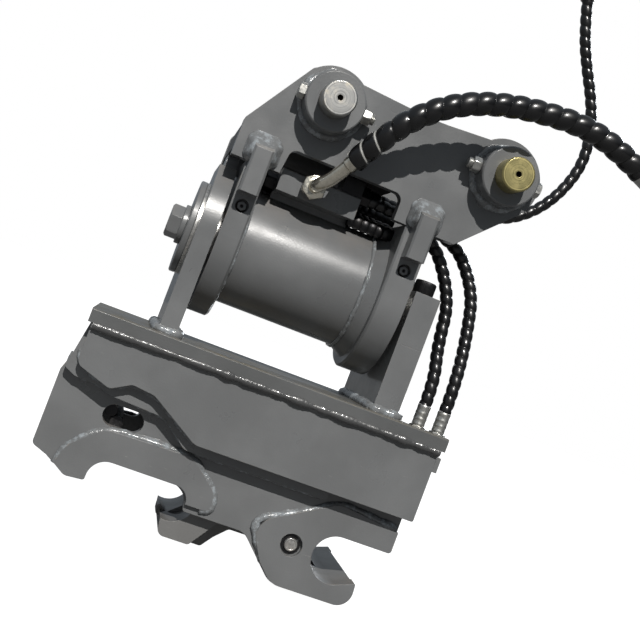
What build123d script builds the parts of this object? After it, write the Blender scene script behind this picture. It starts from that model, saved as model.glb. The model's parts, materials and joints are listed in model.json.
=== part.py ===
from build123d import *
import os
from math import pi, tan, radians

os.makedirs("parts", exist_ok=True)

# Tilting quick coupler for a small excavator, in millimetres.
# The frame's origin is the middle of the arm pin: x runs from the link pin to
# the arm pin, y along the pins, z up. The tilt axis lies along x below the pins,
# and every profile below is drawn from its middle point.

# Pins and their seats
pin_d = 50.0
pin_spacing = 278.0
pin_height = 230.0
arm_pin_x = 216.0
link_pin_x = arm_pin_x - pin_spacing
pin_length = 376.0
running_gap = 0.05
seat_gap = 0.3

# Ear plates and bosses of the upper bracket
ear_outer_y = 118.0
ear_t = 20.0
ear_inner_y = ear_outer_y - ear_t
ear_link_r = 58.0
ear_arm_r = 60.0
boss_r = 44.0
boss_outer_y = 158.0
leg_z = 112.0
window_top_z = 151.0
lug_outer_y = 150.0
lug_w = 29.0
bolt_d = 16.0
bolt_af = 24.0
bolt_head_h = 10.0
bolt_nut_h = 14.0
bolt_y = 138.0
bolt_tail = 13.0

# Tilt actuator
tube_r = 91.0
tube_bore_r = 81.0
flange_half = 118.0
left_flange_x0 = -147.0
left_flange_x1 = -113.0
right_flange_x0 = 104.5
right_flange_x1 = 147.0
neck_len = 20.5
neck_r = 104.0
journal_r = 50.0
bearing_r = 62.0
seal_r = 58.0
seal_w = 6.0
shaft_core_r = 40.0
thread_r = 46.0
sleeve_gap = 0.3
sleeve_r = 62.0
piston_r = 80.7
sleeve_x0 = -40.0
sleeve_x1 = 60.0
piston_w = 30.0
ring_x0 = 40.0
ring_x1 = 80.0
port_screw_z = 48.0
port_screw_d = 20.0

# Tilt frame
arm_t = 27.0
arm_half = 115.0
left_arm_x0 = -178.0
arm_flat_z = 100.0
end_journal_r = 44.0
disc_r = 73.0
spacer_disc_t = 4.0
end_disc_t = 10.0
tie_washer_r = 30.7
tie_washer_t = 8.0
tie_bolt_d = 30.0
tie_bolt_af = 46.0
tie_bolt_head = 19.0
tie_bolt_reach = 60.0
post_x0 = 156.0
post_t = 40.0
post_half = 112.0
cap_z0 = -54.0
cap_z1 = 27.5
cap_bore_r = 36.0
cap_hump_r = 50.0
cap_screw_y = 74.0
cap_screw_d = 22.0
cap_head_d = 33.0
cap_head_h = 22.0
cap_screw_len = 130.0

top_z = -160.0
top_t = 20.0
top_under_z = top_z - top_t
top_half_x = 272.0
top_half_y = 150.0
notch_x = 208.0
notch_half_y = 118.0
side_outer_y = 142.0
side_t = 20.0
side_half_x = 266.0
spacer_outer_y = side_outer_y - side_t
claw_outer_y = 102.0
claw_t = 20.0
claw_inner_y = claw_outer_y - claw_t
doubler_t = 8.0
side_bottom_z = -292.0
spacer_bottom_z = -306.0
weld_leg = 9.0

# Front pin throat, rear opening and latch pivot in the claw plates
throat_x = 185.0
throat_z = -388.0
throat_r = 36.0
claw_bottom_z = throat_z - 63
opening_top_z = -359.0
opening_x0 = -199.0
opening_x1 = -52.5
latch_x = 115.0
latch_z = throat_z + 1
latch_pin_d = 20.0
latch_recess_d = 34.0
latch_half_y = 14.0
latch_slot_half = 18.0
inner_gap = 2.0
slot_x = -178.0
slot_z = -296.0
slot_len = 60.0
slot_w = 32.0

# Sliding jaw and its cylinder
jaw_half_y = claw_inner_y - inner_gap
jaw_seat_x = -68.4
jaw_seat_z = -382.0
jaw_seat_r = 35.5
rail_z0 = -350.0
rail_z1 = -338.0
rail_w = 12.0
rail_x0 = -150.0
rail_x1 = 110.0
cylinder_z = -285.0
barrel_r = 32.0
barrel_bore_r = 26.0
barrel_x0 = 45.0
barrel_x1 = 215.0
gland_t = 16.0
rod_r = 14.0
rod_pin_x = 0.0
rod_eye_r = 18.0
rod_eye_half = 11.7
rod_len = 180.0
rod_pin_d = 20.0
clevis_pin_x = 232.0
clevis_pin_d = 24.0

# Hoses
hose_big_d = 28.0
hose_mid_d = 21.0
hose_small_d = 18.5
ferrule_x_c = 232.5
ferrule_x_d = 265.5
ferrule_y = -104.0
ferrule_len = 32.0
ferrule_r = 10.2
ferrule_top_z = -126.0

tilt_x = -arm_pin_x
tilt_z = -pin_height
left_arm_x1 = left_arm_x0 + arm_t
post_x1 = post_x0 + post_t


def front_plane(y):
    """Plane facing the viewer, seen from the front, at depth y."""
    return Plane(origin=(tilt_x, y, tilt_z), x_dir=(1, 0, 0), z_dir=(0, -1, 0))


def cross_plane(x):
    """Plane across the tilt axis at x, with local x along y and local y up."""
    return Plane(origin=(tilt_x + x, 0, tilt_z), x_dir=(0, 1, 0), z_dir=(1, 0, 0))


def level_plane(z):
    """Level plane at height z above the tilt axis."""
    return Plane(origin=(tilt_x, 0, tilt_z + z), x_dir=(1, 0, 0), z_dir=(0, 0, 1))


def draw_outline(*corners):
    """Closed outline through corners given as (across, up, corner radius)."""
    points = [(across, up) for across, up, r in corners]
    radii = [r for across, up, r in corners]
    with BuildLine() as edge_line:
        FilletPolyline(*points, radius=radii, close=True)
    make_face(edge_line.edges())


def twin_depths(outer_y, thickness):
    """Front and rear copies of a plate: name, near face, extrusion towards the middle."""
    return (("front", -outer_y, -thickness), ("rear", outer_y, thickness))


# Upper bracket: ear plates with their window
for side_name, face_y, into in twin_depths(ear_outer_y, ear_t):
    with BuildPart() as ear_plate:
        with BuildSketch(front_plane(face_y)):
            draw_outline(
                (-171, leg_z, 0),
                (-171, 167, 8),
                (link_pin_x - 42, pin_height + 42, 10),
                (link_pin_x - 20, pin_height + 50, 10),
                (arm_pin_x - 0.446043 * pin_spacing, pin_height + 40.5, 400),
                (arm_pin_x + 20, pin_height + 52, 10),
                (arm_pin_x + ear_arm_r - 20, pin_height + 30, 10),
                (arm_pin_x + 42.4, pin_height - 42.4, 6),
                (182.5, leg_z, 4),
                (84, leg_z, 0),
                (84, window_top_z, 12),
                (-92, window_top_z, 12),
                (-97, leg_z, 0),
            )
            with Locations((link_pin_x, pin_height)):
                Circle(ear_link_r)
            with Locations((arm_pin_x, pin_height)):
                Circle(ear_arm_r)
            with Locations((link_pin_x, pin_height), (arm_pin_x, pin_height)):
                Circle(pin_d / 2 + running_gap, mode=Mode.SUBTRACT)
        extrude(amount=into)
    ear_plate.part.label = f"ear_plate_{side_name}"
    export_step(ear_plate.part, f"parts/ear_plate_{side_name}.step")


# Pin bosses, cross-bored for the retaining bolts at the front
def make_boss(pin_x, face_y, height, drilled):
    """Boss ring round a pin; the front one is drilled along x for its bolt."""
    with BuildPart() as boss:
        with BuildSketch(front_plane(face_y)):
            with Locations((pin_x, pin_height)):
                Circle(boss_r)
                Circle(pin_d / 2 + running_gap, mode=Mode.SUBTRACT)
        extrude(amount=height)
        rim = boss.edges().filter_by(GeomType.CIRCLE).group_by(Axis.Y)[0 if height > 0 else -1]
        chamfer(rim.sort_by(SortBy.RADIUS)[-1], 2)
        if drilled:
            with BuildSketch(cross_plane(pin_x - boss_r - 1)):
                with Locations((-bolt_y, pin_height)):
                    Circle(bolt_d / 2 + seat_gap)
            extrude(amount=2 * boss_r + 2, mode=Mode.SUBTRACT)
    return boss.part


boss_h = boss_outer_y - ear_outer_y
with BuildPart() as pin_bosses:
    for pin_x in (link_pin_x, arm_pin_x):
        add(make_boss(pin_x, -ear_outer_y, boss_h, True))
        add(make_boss(pin_x, ear_outer_y, -boss_h, False))
pin_bosses.part.label = "pin_bosses"
export_step(pin_bosses.part, "parts/pin_bosses.step")

# Pins with chamfered ends, lathe centres and the cross hole for the bolt
for pin_name, pin_x in (("link", link_pin_x), ("arm", arm_pin_x)):
    with BuildPart() as pin:
        with BuildSketch(front_plane(pin_length / 2)):
            with Locations((pin_x, pin_height)):
                Circle(pin_d / 2)
        extrude(amount=pin_length)
        chamfer(pin.edges().filter_by(GeomType.CIRCLE), 2)
        with BuildSketch(front_plane(-pin_length / 2)):
            with Locations((pin_x, pin_height)):
                Circle(3)
        extrude(amount=-12, mode=Mode.SUBTRACT)
        with BuildSketch(cross_plane(pin_x - pin_d)):
            with Locations((-bolt_y, pin_height)):
                Circle(bolt_d / 2 + seat_gap)
        extrude(amount=2 * pin_d, mode=Mode.SUBTRACT)
    pin.part.label = f"{pin_name}_pin"
    export_step(pin.part, f"parts/{pin_name}_pin.step")

# Retaining bolts and nuts: the link pin's head is on the left, the arm pin's on the right
with BuildPart() as retaining_bolts:
    for pin_x, way in ((link_pin_x, 1), (arm_pin_x, -1)):
        with BuildSketch(cross_plane(pin_x - way * boss_r)):
            with Locations((-bolt_y, pin_height)):
                Circle(bolt_d / 2)
        extrude(amount=way * (2 * boss_r + bolt_nut_h + bolt_tail))
        with BuildSketch(cross_plane(pin_x - way * boss_r)):
            with Locations((-bolt_y, pin_height)):
                RegularPolygon(bolt_af / 2, 6, major_radius=False)
        extrude(amount=-way * bolt_head_h)
retaining_bolts.part.label = "retaining_bolts"
export_step(retaining_bolts.part, "parts/retaining_bolts.step")

with BuildPart() as retaining_nuts:
    for pin_x, way in ((link_pin_x, 1), (arm_pin_x, -1)):
        with BuildSketch(cross_plane(pin_x + way * boss_r)):
            with Locations((-bolt_y, pin_height)):
                RegularPolygon(bolt_af / 2, 6, major_radius=False)
                Circle(bolt_d / 2, mode=Mode.SUBTRACT)
        extrude(amount=way * bolt_nut_h)
retaining_nuts.part.label = "retaining_nuts"
export_step(retaining_nuts.part, "parts/retaining_nuts.step")

# Lugs that tie the ear plates to the flanges, with a sloped top
with BuildPart() as bracket_lugs:
    for lug_x in (left_flange_x0 + 2, 113.5):
        for way in (-1, 1):
            with BuildSketch(cross_plane(lug_x)):
                with BuildLine():
                    Polyline(
                        (way * ear_outer_y, 65),
                        (way * lug_outer_y, 65),
                        (way * lug_outer_y, 131),
                        (way * ear_outer_y, 148),
                        close=True,
                    )
                make_face()
            extrude(amount=lug_w)
    outer_edges = bracket_lugs.edges().filter_by(Axis.Z)
    chamfer([edge for edge in outer_edges if abs(edge.center().Y) > lug_outer_y - 1], 3)
bracket_lugs.part.label = "bracket_lugs"
export_step(bracket_lugs.part, "parts/bracket_lugs.step")

# Cross plates between the ear plates
with BuildPart() as bridge_plate:
    with BuildSketch(front_plane(ear_inner_y)):
        with Locations(((75 - 86) / 2, 161.5)):
            Rectangle(161, 13)
    extrude(amount=2 * ear_inner_y)
bridge_plate.part.label = "bridge_plate"
export_step(bridge_plate.part, "parts/bridge_plate.step")

with BuildPart() as ear_end_plate:
    with BuildSketch(front_plane(ear_inner_y)):
        draw_outline((-170, 128, 0), (-158, 128, 0), (-158, 160, 0), (-128, 204, 0), (-137, 211, 0), (-170, 163, 0))
    extrude(amount=2 * ear_inner_y)
ear_end_plate.part.label = "ear_end_plate"
export_step(ear_end_plate.part, "parts/ear_end_plate.step")

# Actuator housing: tube, U-shaped end flanges and their bearings and seals
with BuildPart() as actuator_tube:
    with BuildSketch(cross_plane(left_flange_x1)):
        Circle(tube_r)
        Circle(tube_bore_r, mode=Mode.SUBTRACT)
    extrude(amount=right_flange_x0 - neck_len - left_flange_x1)
actuator_tube.part.label = "actuator_tube"
export_step(actuator_tube.part, "parts/actuator_tube.step")


def make_flange(x0, x1, screw_x):
    """End flange: flat top and sides, round below, stepped bore for bearing and seal."""
    outer = left_flange_x0 if x0 == left_flange_x0 else right_flange_x1
    inward = 1 if x0 == left_flange_x0 else -1
    with BuildPart() as flange:
        with BuildSketch(cross_plane(x0)):
            with Locations((0, leg_z / 2)):
                Rectangle(2 * flange_half, leg_z)
            Circle(flange_half)
            with Locations((0, leg_z + flange_half / 2)):
                Rectangle(2 * flange_half, flange_half, mode=Mode.SUBTRACT)
        extrude(amount=x1 - x0)
        with BuildSketch(cross_plane(x0)):
            Circle(bearing_r)
        extrude(amount=x1 - x0, mode=Mode.SUBTRACT)
        with BuildSketch(cross_plane(outer)):
            Circle(bearing_r)
            Circle(seal_r, mode=Mode.SUBTRACT)
        extrude(amount=inward * seal_w)
        chamfer(flange.edges().filter_by(GeomType.CIRCLE).sort_by(SortBy.RADIUS)[-1], 3)
        for way in (-1, 1):
            with BuildSketch(front_plane(way * flange_half)):
                with Locations((screw_x, port_screw_z)):
                    Circle(port_screw_d / 2)
            extrude(amount=way * 10, mode=Mode.SUBTRACT)
    return flange.part


with BuildPart() as flange_left:
    add(make_flange(left_flange_x0, left_flange_x1, -130))
flange_left.part.label = "flange_left"
export_step(flange_left.part, "parts/flange_left.step")

with BuildPart() as flange_right:
    add(make_flange(right_flange_x0, right_flange_x1, 126))
    with BuildSketch(cross_plane(right_flange_x0)):
        Circle(neck_r)
    with BuildSketch(cross_plane(right_flange_x0 - neck_len)):
        Circle(tube_r)
    loft()
    with BuildSketch(cross_plane(right_flange_x0 - neck_len)):
        Circle(tube_bore_r)
    extrude(amount=neck_len, mode=Mode.SUBTRACT)
flange_right.part.label = "flange_right"
export_step(flange_right.part, "parts/flange_right.step")

with BuildPart() as port_screws:
    for screw_x in (-130, 126):
        for way in (-1, 1):
            with BuildSketch(front_plane(way * (flange_half - 10))):
                with Locations((screw_x, port_screw_z)):
                    Circle(8.5)
            extrude(amount=-way * 9)
            with BuildSketch(front_plane(way * (flange_half - 1))):
                with Locations((screw_x, port_screw_z)):
                    RegularPolygon(4, 6, major_radius=False)
            extrude(amount=way * 6, mode=Mode.SUBTRACT)
port_screws.part.label = "port_screws"
export_step(port_screws.part, "parts/port_screws.step")


def make_ring(x0, x1, outer_r, inner_r):
    """Plain ring on the tilt axis."""
    with BuildPart() as ring:
        with BuildSketch(cross_plane(x0)):
            Circle(outer_r)
            Circle(inner_r, mode=Mode.SUBTRACT)
        extrude(amount=x1 - x0)
    return ring.part


with BuildPart() as bearing_rings:
    add(make_ring(left_flange_x0 + seal_w, left_flange_x1, bearing_r, journal_r + running_gap))
    add(make_ring(right_flange_x0, right_flange_x1 - seal_w, bearing_r, journal_r + running_gap))
bearing_rings.part.label = "bearing_rings"
export_step(bearing_rings.part, "parts/bearing_rings.step")

with BuildPart() as shaft_seals:
    add(make_ring(left_flange_x0, left_flange_x0 + seal_w, seal_r, journal_r + running_gap))
    add(make_ring(right_flange_x1 - seal_w, right_flange_x1, seal_r, journal_r + running_gap))
shaft_seals.part.label = "shaft_seals"
export_step(shaft_seals.part, "parts/shaft_seals.step")

with BuildPart() as ring_gear:
    add(make_ring(ring_x0, ring_x1, tube_bore_r, sleeve_r + sleeve_gap))
ring_gear.part.label = "ring_gear"
export_step(ring_gear.part, "parts/ring_gear.step")

with BuildPart() as piston_sleeve:
    add(make_ring(sleeve_x0, sleeve_x0 + piston_w, piston_r, thread_r + sleeve_gap))
    add(make_ring(sleeve_x0 + piston_w, sleeve_x1, sleeve_r, thread_r + sleeve_gap))
piston_sleeve.part.label = "piston_sleeve"
export_step(piston_sleeve.part, "parts/piston_sleeve.step")

with BuildPart() as piston_seal:
    add(make_ring(sleeve_x0 - 3, sleeve_x0, piston_r, thread_r + sleeve_gap))
piston_seal.part.label = "piston_seal"
export_step(piston_seal.part, "parts/piston_seal.step")

# Output shaft: journals, threaded middle and the ends that carry the tilt frame
with BuildPart() as output_shaft:
    with BuildSketch(front_plane(0)):
        with BuildLine():
            Polyline(
                (left_arm_x0, 0),
                (left_arm_x0, end_journal_r),
                (left_arm_x1 + 2, end_journal_r),
                (left_arm_x1 + 2, journal_r),
                (left_flange_x1 + 3, journal_r),
                (left_flange_x1 + 3, shaft_core_r),
                (-60, shaft_core_r),
                (-60, thread_r),
                (right_flange_x0 - 6, thread_r),
                (right_flange_x0 - 6, journal_r),
                (post_x0 - 3, journal_r),
                (post_x0 - 3, cap_bore_r),
                (post_x1, cap_bore_r),
                (post_x1, 0),
                close=True,
            )
        make_face()
    revolve(axis=Axis((tilt_x, 0, tilt_z), (1, 0, 0)))
    with BuildSketch(cross_plane(left_arm_x0)):
        Circle(tie_bolt_d / 2)
    extrude(amount=tie_bolt_reach, mode=Mode.SUBTRACT)
output_shaft.part.label = "output_shaft"
export_step(output_shaft.part, "parts/output_shaft.step")

# Left end stack: spacer disc, end disc, washer and hexagon bolt
disc_x1 = left_arm_x0
disc_x0 = disc_x1 - spacer_disc_t
end_x0 = disc_x0 - end_disc_t
washer_x0 = end_x0 - tie_washer_t
with BuildPart() as spacer_disc:
    add(make_ring(disc_x0, disc_x1, disc_r, tie_bolt_d / 2 + seat_gap))
spacer_disc.part.label = "spacer_disc"
export_step(spacer_disc.part, "parts/spacer_disc.step")

with BuildPart() as end_disc:
    add(make_ring(end_x0, disc_x0, disc_r, tie_bolt_d / 2 + seat_gap))
    chamfer(end_disc.edges().filter_by(GeomType.CIRCLE).sort_by(SortBy.RADIUS)[-2:], 1.5)
end_disc.part.label = "end_disc"
export_step(end_disc.part, "parts/end_disc.step")

with BuildPart() as tie_washer:
    add(make_ring(washer_x0, end_x0, tie_washer_r, tie_bolt_d / 2 + seat_gap))
tie_washer.part.label = "tie_washer"
export_step(tie_washer.part, "parts/tie_washer.step")

with BuildPart() as tie_bolt:
    with BuildSketch(cross_plane(washer_x0)):
        Circle(tie_bolt_d / 2)
    extrude(amount=left_arm_x0 + tie_bolt_reach - 2 - washer_x0)
    with BuildSketch(cross_plane(washer_x0)):
        RegularPolygon(tie_bolt_af / 2, 6, major_radius=False)
    extrude(amount=-tie_bolt_head)
tie_bolt.part.label = "tie_bolt"
export_step(tie_bolt.part, "parts/tie_bolt.step")

# Left arm: upright plate with a round, flat-topped head, a boss on top and base welds
with BuildPart() as left_arm:
    with BuildSketch(cross_plane(left_arm_x0)):
        with Locations((0, top_z / 2)):
            Rectangle(2 * arm_half, -top_z)
        Circle(arm_half)
        with Locations((0, arm_flat_z + arm_half / 2)):
            Rectangle(2 * arm_half, arm_half, mode=Mode.SUBTRACT)
        Circle(end_journal_r + running_gap, mode=Mode.SUBTRACT)
    extrude(amount=arm_t)
    with BuildSketch(cross_plane(left_arm_x0 + 8)):
        with Locations((0, arm_flat_z - 10)):
            RectangleRounded(70, 64, 14)
        Circle(end_journal_r + running_gap, mode=Mode.SUBTRACT)
    extrude(amount=18)
    for weld_x, way in ((left_arm_x0, -1), (left_arm_x1, 1)):
        with BuildSketch(front_plane(arm_half)):
            with BuildLine():
                Polyline(
                    (weld_x, top_z),
                    (weld_x + way * weld_leg, top_z),
                    (weld_x, top_z + weld_leg),
                    close=True,
                )
            make_face()
        extrude(amount=2 * arm_half)
left_arm.part.label = "left_arm"
export_step(left_arm.part, "parts/left_arm.step")

# Right post below the bearing cap
with BuildPart() as right_post:
    with BuildSketch(front_plane(post_half)):
        draw_outline(
            (post_x0 - weld_leg, top_z, 0),
            (post_x1 + weld_leg, top_z, 0),
            (post_x1, top_z + weld_leg, 0),
            (post_x1, cap_z0, 0),
            (post_x0, cap_z0, 0),
            (post_x0, top_z + weld_leg, 0),
        )
    extrude(amount=2 * post_half)
    with BuildSketch(level_plane(cap_z0)):
        with Locations(((post_x0 + post_x1) / 2, -cap_screw_y), ((post_x0 + post_x1) / 2, cap_screw_y)):
            Circle(cap_screw_d / 2)
    extrude(amount=-(cap_screw_len - cap_z1 + cap_z0) - 2, mode=Mode.SUBTRACT)
right_post.part.label = "right_post"
export_step(right_post.part, "parts/right_post.step")

with BuildPart() as bearing_cap:
    with BuildSketch(cross_plane(post_x0)):
        with Locations((0, (cap_z0 + cap_z1) / 2)):
            Rectangle(2 * post_half, cap_z1 - cap_z0)
        Circle(cap_hump_r)
        Circle(cap_bore_r + running_gap, mode=Mode.SUBTRACT)
    extrude(amount=post_t)
    with BuildSketch(level_plane(cap_z1 + cap_hump_r)):
        with Locations(((post_x0 + post_x1) / 2, -cap_screw_y), ((post_x0 + post_x1) / 2, cap_screw_y)):
            Circle(cap_screw_d / 2 + seat_gap)
    extrude(amount=-2 * (cap_z1 - cap_z0), mode=Mode.SUBTRACT)
bearing_cap.part.label = "bearing_cap"
export_step(bearing_cap.part, "parts/bearing_cap.step")

with BuildPart() as cap_screws:
    for screw_y in (-cap_screw_y, cap_screw_y):
        with BuildSketch(level_plane(cap_z1)):
            with Locations(((post_x0 + post_x1) / 2, screw_y)):
                Circle(cap_screw_d / 2)
        extrude(amount=-cap_screw_len)
        with BuildSketch(level_plane(cap_z1)):
            with Locations(((post_x0 + post_x1) / 2, screw_y)):
                Circle(cap_head_d / 2)
        extrude(amount=cap_head_h)
        with BuildSketch(level_plane(cap_z1 + cap_head_h)):
            with Locations(((post_x0 + post_x1) / 2, screw_y)):
                RegularPolygon(17 / 2, 6, major_radius=False)
        extrude(amount=-11, mode=Mode.SUBTRACT)
cap_screws.part.label = "cap_screws"
export_step(cap_screws.part, "parts/cap_screws.step")

# Top plate of the claw frame, open at the right end for the hoses
with BuildPart() as top_plate:
    with BuildSketch(level_plane(top_under_z)):
        Rectangle(2 * top_half_x, 2 * top_half_y)
        with BuildLine():
            Polyline(
                (top_half_x + 1, -notch_half_y),
                (top_half_x + 1, notch_half_y),
                (notch_x, notch_half_y),
                (notch_x, 8 - notch_half_y),
                (notch_x + 8, -notch_half_y),
                close=True,
            )
        make_face(mode=Mode.SUBTRACT)
    extrude(amount=top_t)
    chamfer(top_plate.edges().filter_by(Axis.X).group_by(Axis.Z)[-1].filter_by(
        lambda edge: abs(edge.center().Y) > top_half_y - 1), 2)
top_plate.part.label = "top_plate"
export_step(top_plate.part, "parts/top_plate.step")

# Side plates with the weld run under the top plate's edge
with BuildPart() as side_plates:
    for way in (-1, 1):
        with BuildSketch(front_plane(way * side_outer_y)):
            draw_outline(
                (-side_half_x, top_under_z, 0),
                (-side_half_x, -240, 14),
                (-212, -258, 10),
                (-184, -242, 14),
                (-150, -246, 22),
                (-74, side_bottom_z, 24),
                (side_half_x, side_bottom_z, 3),
                (side_half_x, top_under_z, 0),
            )
        extrude(amount=way * side_t)
        with BuildSketch(cross_plane(-side_half_x)):
            with BuildLine():
                Polyline(
                    (way * side_outer_y, top_under_z),
                    (way * (side_outer_y + 7), top_under_z),
                    (way * (side_outer_y + 5), top_under_z - 7),
                    (way * side_outer_y, top_under_z - 11),
                    close=True,
                )
            make_face()
        extrude(amount=2 * side_half_x)
side_plates.part.label = "side_plates"
export_step(side_plates.part, "parts/side_plates.step")

with BuildPart() as spacer_plates:
    for way in (-1, 1):
        with BuildSketch(front_plane(way * spacer_outer_y)):
            draw_outline(
                (-268, top_under_z, 0),
                (-276, -228, 8),
                (-281, -251, 6),
                (-262, -259.5, 8),
                (-232, -259.5, 12),
                (-208, -268.5, 12),
                (-122, -273, 14),
                (-84, spacer_bottom_z, 18),
                (138, spacer_bottom_z, 4),
                (138, top_under_z, 0),
            )
        extrude(amount=way * (spacer_outer_y - claw_outer_y))
spacer_plates.part.label = "spacer_plates"
export_step(spacer_plates.part, "parts/spacer_plates.step")


def cut_throat():
    """Front pin throat: round seat with its lower lip opening towards +x."""
    with Locations((throat_x, throat_z)):
        Circle(throat_r, mode=Mode.SUBTRACT)
    with BuildLine() as lip_line:
        Polyline(
            (throat_x, throat_z),
            (throat_x + 8, throat_z - throat_r + 0.9),
            (throat_x + 43, throat_z - 23),
            close=True,
        )
    make_face(lip_line.edges(), mode=Mode.SUBTRACT)


# Claw plates: pin throat on the right, wide opening on the left
for side_name, face_y, into in twin_depths(claw_outer_y, claw_t):
    with BuildPart() as claw_plate:
        with BuildSketch(front_plane(face_y)):
            draw_outline(
                (-268, top_under_z, 0),
                (-276, -232, 14),
                (-285, -258, 14),
                (-285, -370, 8),
                (-261, -379, 20),
                (-228, -397.5, 16),
                (opening_x0, -394.5, 4),
                (opening_x0, opening_top_z, 28),
                (opening_x1, opening_top_z, 30),
                (opening_x1, -392.6, 4),
                (44, -392.6, 26),
                (105, claw_bottom_z, 34),
                (231, claw_bottom_z, 24),
                (throat_x + 43, throat_z - 23, 5),
                (throat_x, throat_z, 0),
                (throat_x, throat_z + throat_r, 0),
                (262, throat_z + throat_r, 5),
                (262, -215, 4),
                (212, -215, 4),
                (212, top_under_z, 0),
            )
            cut_throat()
            with Locations((slot_x, slot_z)):
                SlotOverall(slot_len, slot_w, mode=Mode.SUBTRACT)
            with Locations((latch_x, latch_z)):
                Circle(latch_pin_d / 2 + running_gap, mode=Mode.SUBTRACT)
            with Locations((clevis_pin_x, cylinder_z)):
                Circle(clevis_pin_d / 2 + running_gap, mode=Mode.SUBTRACT)
        extrude(amount=into)
    claw_plate.part.label = f"claw_plate_{side_name}"
    export_step(claw_plate.part, f"parts/claw_plate_{side_name}.step")

# Doublers welded outside the claw plates, round the rear opening and the throat
with BuildPart() as claw_doublers:
    for way in (-1, 1):
        with BuildSketch(front_plane(way * (claw_outer_y + doubler_t))):
            draw_outline(
                (-248, -384.5, 2),
                (-238, -355, 24),
                (-197, -317, 34),
                (-66, -313.5, 22),
                (-17, -353, 26),
                (-17, -381, 8),
                (opening_x1, -381, 0),
                (opening_x1, opening_top_z, 21.5),
                (opening_x0, opening_top_z, 28),
                (opening_x0, -394.5, 4),
                (-228, -397, 14),
            )
            draw_outline(
                (80, -425, 5),
                (49, -373, 30),
                (163.7, -306.9, 36),
                (262, -318, 2),
                (262, throat_z + throat_r, 5),
                (throat_x, throat_z + throat_r, 0),
                (throat_x, throat_z, 0),
                (throat_x + 43, throat_z - 23, 5),
                (231, claw_bottom_z + 1, 24),
                (106, claw_bottom_z + 1, 34),
            )
            cut_throat()
            with Locations((latch_x, latch_z)):
                Circle(latch_recess_d / 2, mode=Mode.SUBTRACT)
        extrude(amount=way * doubler_t)
claw_doublers.part.label = "claw_doublers"
export_step(claw_doublers.part, "parts/claw_doublers.step")

# Cross plates between the claw plates
with BuildPart() as cross_plates:
    with BuildSketch(front_plane(claw_inner_y)):
        draw_outline(
            (-262, top_under_z, 0),
            (-262, -340, 0),
            (-278, -362, 0),
            (-278, -250, 0),
            (-268, -225, 0),
            (-268, top_under_z, 0),
        )
        draw_outline((250, -216, 0), (262, -216, 2), (262, -306, 2), (250, -306, 0))
    extrude(amount=2 * claw_inner_y)
cross_plates.part.label = "cross_plates"
export_step(cross_plates.part, "parts/cross_plates.step")

# Full-width throat block behind the front pin, slotted for the latch
with BuildPart() as throat_block:
    with BuildSketch(front_plane(claw_inner_y)):
        draw_outline(
            (137, -362, 8),
            (137, -436, 8),
            (150, -447, 10),
            (227, -447, 22),
            (throat_x + 41, throat_z - 24, 4),
            (throat_x, throat_z, 0),
            (throat_x, throat_z + throat_r, 0),
            (160, -346, 6),
        )
        cut_throat()
    extrude(amount=2 * claw_inner_y)
    with BuildSketch(front_plane(latch_slot_half)):
        with Locations((throat_x - 25, throat_z - 2)):
            Rectangle(50, 100)
    extrude(amount=2 * latch_slot_half, mode=Mode.SUBTRACT)
throat_block.part.label = "throat_block"
export_step(throat_block.part, "parts/throat_block.step")

# Guide rails for the jaw, on the inner faces of the claw plates
with BuildPart() as guide_rails:
    for way in (-1, 1):
        with BuildSketch(cross_plane(rail_x0)):
            with Locations((way * (claw_inner_y - rail_w / 2), (rail_z0 + rail_z1) / 2)):
                Rectangle(rail_w, rail_z1 - rail_z0)
        extrude(amount=rail_x1 - rail_x0)
guide_rails.part.label = "guide_rails"
export_step(guide_rails.part, "parts/guide_rails.step")

# Sliding jaw: cheeks with the rear pin's seat, web, grooves and the rod's lug
with BuildPart() as jaw:
    with BuildSketch(front_plane(jaw_half_y)):
        draw_outline(
            (-76, -417, 3),
            (-73, -441, 12),
            (-24, -441, 6),
            (6, -398, 3),
            (6, -394, 0),
            (75, -394, 4),
            (75, -325, 4),
            (-30, -325, 5),
            (-30, -372, 0),
            (jaw_seat_x, jaw_seat_z, 0),
        )
        with Locations((jaw_seat_x, jaw_seat_z)):
            Circle(jaw_seat_r, mode=Mode.SUBTRACT)
    extrude(amount=2 * jaw_half_y)
    with BuildSketch(front_plane(16)):
        draw_outline(
            (-82, -406, 4),
            (-80, -424, 5),
            (-60, -436, 0),
            (-30, -451, 8),
            (3, -451, 6),
            (17, -432, 10),
            (36, -413, 8),
            (73, -413, 4),
            (73, -380, 0),
            (-20, -380, 0),
            (jaw_seat_x + 4, jaw_seat_z - jaw_seat_r - 1, 0),
        )
    extrude(amount=32)
    for way in (-1, 1):
        with BuildSketch(cross_plane(-40)):
            with Locations((way * jaw_half_y, (rail_z0 + rail_z1) / 2)):
                Rectangle(2 * (rail_w - inner_gap + 0.5), rail_z1 - rail_z0 + 1)
        extrude(amount=130, mode=Mode.SUBTRACT)
    with BuildSketch(front_plane(24)):
        draw_outline(
            (-20, -326, 0),
            (-20, cylinder_z + 18, 12),
            (20, cylinder_z + 18, 12),
            (20, -326, 0),
        )
        with Locations((rod_pin_x, cylinder_z)):
            Circle(rod_pin_d / 2 + running_gap, mode=Mode.SUBTRACT)
    extrude(amount=48)
    with BuildSketch(front_plane(rod_eye_half + seat_gap)):
        with Locations((rod_pin_x, cylinder_z)):
            Rectangle(42, 42)
    extrude(amount=2 * (rod_eye_half + seat_gap), mode=Mode.SUBTRACT)
jaw.part.label = "jaw"
export_step(jaw.part, "parts/jaw.step")

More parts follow.
